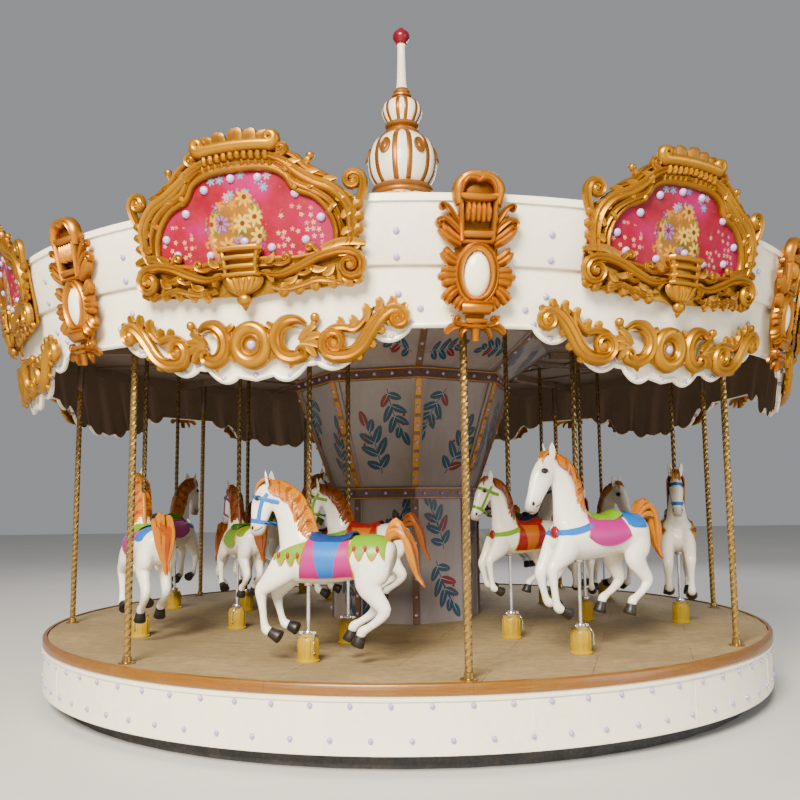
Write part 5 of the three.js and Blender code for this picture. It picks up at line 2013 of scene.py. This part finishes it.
def addSaddle(bm, tree, style):
    # Trapezoid saddle flaps with a centre band, the seat above them, and a piped edge
    hem = 2.42 if style["longFlap"] else 1.95
    lines = [(-36, 20, 1.3), (-42, -122, 0.8), (-302, -212, 0.8), (-308, -360, 1.3)]
    rows = rowsFor(lines, evenly(-hem, hem, 33), 5)
    kept = set(bm.faces)
    if not style["longFlap"]:
        rows = [[(x, angle * (1 - 0.24 * abs((x + 170) / 200) ** 2.4)) for x, angle in row] for row in rows]
    grid = drape(bm, tree, rows, 0.008, 0.006)
    for face in bm.faces:
        if face not in kept:
            onBand = style["centreBand"] and bandShare(face.calc_center_median(), grid)
            face.material_index = 5 if onBand else 4
    kept = set(bm.faces)
    for edge in gridEdges(grid):
        addPiping(bm, edge)
    paintNew(bm, kept, 6)
    kept = set(bm.faces)

    def seatLift(x, angle):
        share = (x + 186) / 150
        rise = 0.020 * max(0, share) ** 3 + 0.042 * max(0, -share) ** 3
        return 0.016 + rise * math.cos(angle) ** 2 - 0.010 * (abs(angle) / 0.72) ** 4
    seat = [[(x, angle * (1 - 0.25 * abs((x + 186) / 150) ** 3)) for x in evenly(-38, -334, 17)] for angle in
            evenly(-0.72, 0.72, 13)]
    drape(bm, tree, seat, seatLift, 0.010)
    paintNew(bm, kept, 7)


def bandShare(point, grid):
    # Whether a point lies on the centre band of the flap
    nearest = min(grid, key=lambda row: (row[7].co - point).length)
    return nearest[10].co.x - 0.002 < point.x < nearest[5].co.x + 0.002


def drip(x, wave, depth):
    return depth * (0.5 - 0.5 * math.cos(2 * math.pi * x / wave)) ** 0.7


def addBlankets(bm, tree, style):
    # Chest and croup cloths with a dripping hem, piping along it and gems between the drips
    kept = set(bm.faces)
    edges = []
    gems = []
    if style["blanket"] == "dripping":
        for side in (-1, 1):
            for first, last, wave, start, depth, chest in ((-24, 196, 74, 14, 0.42, 1),
                                                           (-330, -566, 84, 30, 0.46, 0)):
                rows = []
                for share in evenly(0, 1, 9):
                    row = []
                    for x in evenly(first, last, 23):
                        high = 0.68 + 0.57 * (x - first) / (last - first) if chest else 0.02
                        hem = (1.42 if chest else 1.08) + drip(x - first + start, wave, depth)
                        row.append((x, side * (high + (hem - high) * share)))
                    rows.append(row)
                _, back, top, hem = gridEdges(drape(bm, tree, rows, 0.007, 0.005))
                edges += [hem[4:], back, top] if chest else [hem]
                for k in range(3):
                    x = first + (last - first) * (k + (0.62 if chest else 0.5)) / 3.1
                    gems.append((x, side * (1.36 if chest else 1.06)))
    elif style["blanket"] == "croup":
        rows = [[(x, angle * (1 - 0.3 * ((x + 452) / 110) ** 4)) for x in evenly(-358, -532, 12)] for angle in
                evenly(-1.15, 1.15, 19)]
        edges = gridEdges(drape(bm, tree, rows, 0.007, 0.005))
    paintNew(bm, kept, 8)
    kept = set(bm.faces)
    for edge in edges:
        addPiping(bm, edge)
    paintNew(bm, kept, 9)
    kept = set(bm.faces)
    for x, angle in gems:
        centre = Vector((x / 1000, 0, 0))
        away = Vector((0, math.sin(angle), math.cos(angle)))
        addBall(bm, onSkin(tree, centre + away * 0.5, centre, 0.010)[0], 0.015, squash=(0.8, 0.6, 1.5),
                fine=0)
    paintNew(bm, kept, 10)
    if style["breastStrap"]:
        addBreastStrap(bm, tree)


def addBreastStrap(bm, tree):
    # A strap round the chest, and a rosette with two ribbons on it
    kept = set(bm.faces)
    rays = []
    for k in range(25):
        turn = math.radians(-112 + 224 * k / 24)
        centre = Vector((0.05 - 0.02 * abs(turn), 0, 0.030 + 0.060 * (abs(turn) / 2.0) ** 2))
        rays.append((centre + Vector((math.cos(turn), math.sin(turn), 0)) * 0.5, centre))
    addStrap(bm, tree, rays, 0.026, 0.007, 0.002)
    paintNew(bm, kept, 3)
    kept = set(bm.faces)
    spot, _ = onSkin(tree, (0.6, 0.02, 0.03), (0.05, 0.0, 0.03), 0.008)
    addBall(bm, spot, 0.038, squash=(0.4, 1, 1), fine=2)
    for k in range(10):
        turn = k * math.pi / 5
        petal = spot + Vector((-0.002, 0.036 * math.cos(turn), 0.036 * math.sin(turn)))
        addBall(bm, petal, 0.014, squash=(0.5, 1, 1), fine=1)
    for side in (-1, 1):
        ribbon = [spot + Vector((x, side * y, z)) for x, y, z in
                  ((0.0, 0.008, -0.02), (0.0, 0.018, -0.06), (-0.014, 0.024, -0.10))]
        sweep(bm, ribbon, [0.010, 0.013, 0.016], 0.004, "round", 6, upright=(1, 0, 0))
    paintNew(bm, kept, 10)


def airbrush(bm, pose):
    # How strongly each point is shaded by hand: full at the mouth and lighter round the eyes
    muzzle = Vector(headForms[pose][-2][:3]) / 1000 + Vector((-0.004, 0, -0.018))
    eye = eyePlace(pose)
    layer = bm.verts.layers.float.new("airbrush")
    for vert in bm.verts:
        spot = vert.co.copy()
        nearMouth = 1 - (spot - muzzle).length / 0.115
        spot.y = 0
        nearEye = 1 - (spot - eye).length / 0.052
        vert[layer] = max(0.0, min(1.0, max(nearMouth * 1.5, nearEye * 0.9)))


def makeHorseMesh(pose, style, seed):
    generator = random.Random(seed)
    tree = skinTrees[pose]
    bm = bmesh.new()
    bm.from_mesh(skins[pose])

    def addPart(build, *values):
        part = bmesh.new()
        build(part, *values)
        if build is addForm:
            paintNew(part, set(), 1)
        joinInto(bm, part)
    for stations in hoofForms:
        addPart(addForm, stations, 14, 1)
    addPart(addHeadDetails, tree, pose, style["straps"])
    addPart(addMane, pose, generator)
    addPart(addTail, generator)
    addPart(addSaddle, tree, style)
    addPart(addBlankets, tree, style)
    turnOutwards(bm)
    bmesh.ops.triangulate(bm, faces=[face for face in bm.faces if len(face.verts) > 4])
    airbrush(bm, pose)
    return toMesh(f"horse_form_{seed}", bm)


horsePaint = {"white": makeGloss("horseWhite", (0.88, 0.85, 0.74), (0.82, 0.77, 0.64), 0.28, 0.3, 0.25,
                                 (0.46, 0.37, 0.25), 5.0, (0.17, 0.095, 0.07)),
              "black": gloss("hoofBlack", (0.010, 0.009, 0.009), 0.45)}
for name, bright, deep in (
        ("goldMane", (0.37, 0.128, 0.0), (0.17, 0.040, 0.0)),
        ("goldManeDeep", (0.22, 0.052, 0.0), (0.12, 0.024, 0.0)),
        ("brownMane", (0.18, 0.045, 0.002), (0.09, 0.017, 0.001)),
        ("brownManeDeep", (0.105, 0.022, 0.001), (0.055, 0.010, 0.001)),
        ("sandMane", (0.36, 0.118, 0.001), (0.21, 0.055, 0.001)),
        ("sandManeDeep", (0.25, 0.045, 0.001), (0.14, 0.020, 0.001))):
    horsePaint[name] = hairMaterial(name, bright, deep)
for name, label, color in (
        ("blue", "saddleBlue", (0.0, 0.14, 0.52)), ("darkBlue", "seatBlue", (0.002, 0.036, 0.17)),
        ("pink", "saddlePink", (0.40, 0.006, 0.175)), ("green", "clothGreen", (0.15, 0.33, 0.0)),
        ("deepGreen", "clothDeepGreen", (0.03, 0.155, 0.004)), ("yellow", "pipingYellow", (0.48, 0.25, 0.0)),
        ("orange", "pipingOrange", (0.48, 0.115, 0.001)), ("red", "saddleRed", (0.28, 0.004, 0.006)),
        ("purple", "bridlePurple", (0.20, 0.03, 0.22))):
    horsePaint[name] = gloss(label, color)
# Paints are for the skin, black, mane, straps, flap, band, flap edge, seat, blanket, blanket edge and gems
horseStyles = {
    "parade": {"straps": True, "longFlap": True, "centreBand": True, "blanket": "dripping",
               "breastStrap": False,
               "paints": "white black goldMane blue pink blue orange darkBlue green yellow red"},
    "rosette": {"straps": False, "longFlap": False, "centreBand": False, "blanket": "croup",
                "breastStrap": True,
                "paints": "white black sandMane blue pink pink pink green blue blue red"},
    "plainRed": {"straps": True, "longFlap": True, "centreBand": True, "blanket": "none", "breastStrap": True,
                 "paints": "white black brownMane green red orange yellow red green yellow red"},
    "plainGreen": {"straps": True, "longFlap": False, "centreBand": False, "blanket": "croup",
                   "breastStrap": False,
                   "paints": "white black brownMane purple green green yellow deepGreen green yellow red"},
}
horseOrder = {
    "outer": "rosette parade rosette plainGreen parade rosette rosette parade".split(),
    "inner": "plainRed plainGreen parade plainGreen plainRed plainGreen plainGreen plainRed".split(),
}
skins = {pose: makeSkin(pose) for pose in ("bowed", "up")}
skinTrees = {}
for pose, skin in skins.items():
    finder = bmesh.new()
    finder.from_mesh(skin)
    skinTrees[pose] = BVHTree.FromBMesh(finder)
    finder.free()
    print("skin", pose, len(skin.polygons))


def addHorsePole(bm, scale, low, high):
    # Twisted brass above the saddle and a plain rod under the belly
    pole = bmesh.new()
    top = 0.15 * scale
    addTwisted(pole, horse["poleRadius"], top, high, 30.0, points=8, groove=0.12, step=0.022)
    addLathe(pole, [(0.019, top), (0.034, top), (0.036, top + 0.028), (0.026, top + 0.040),
                    (0.019, top + 0.042)], 16)
    paintNew(pole, set(), 11)
    kept = set(pole.faces)
    rod = horse["rodRadius"]
    addLathe(pole, [(0, low), (rod, low), (rod, -0.14 * scale), (0, -0.14 * scale)], 14)
    addLathe(pole, [(radius, z * scale) for radius, z in
                    ((0, -0.175), (0.026, -0.175), (0.030, -0.168), (0.030, -0.135), (0, -0.135))], 14)
    paintNew(pole, kept, 12)
    joinInto(bm, pole)


def makeHorses():
    meshes = {}
    for row, (middle, lifts) in horse["rows"].items():
        scale = horse["innerScale"] if row == "inner" else 1.0
        for bay in bays:
            pose = "up" if bay % 2 == 0 else "bowed"
            style = horseOrder[row][bay]
            if (pose, style) not in meshes:
                meshes[pose, style] = makeHorseMesh(pose, horseStyles[style], 10 + len(meshes))
            node = f"horse_{row}_{bay + 1}"
            low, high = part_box(node)
            lift = middle + lifts[bay] / 1000
            bm = bmesh.new()
            bm.from_mesh(meshes[pose, style])
            bmesh.ops.scale(bm, vec=(scale, scale, scale), verts=bm.verts[:])
            addHorsePole(bm, scale, low.z - lift, high.z - lift)
            place = (turnZ((bay + 0.5) * bayAngle) @ Matrix.Translation((0, -ride["rowRadii"][row], lift))
                     @ turnZ(math.pi))
            bmesh.ops.transform(bm, matrix=place, verts=bm.verts[:])
            names = horseStyles[style]["paints"].split()
            paints = [horsePaint[name] for name in names] + [brass, chrome, horsePaint[names[2] + "Deep"]]
            finishPiece(f"jumper_{row}_{bay + 1}", bm, paints, (node,), node, 50)
    for mesh in list(meshes.values()) + list(skins.values()):
        bpy.data.meshes.remove(mesh)


makeHorses()
print("horses ready")
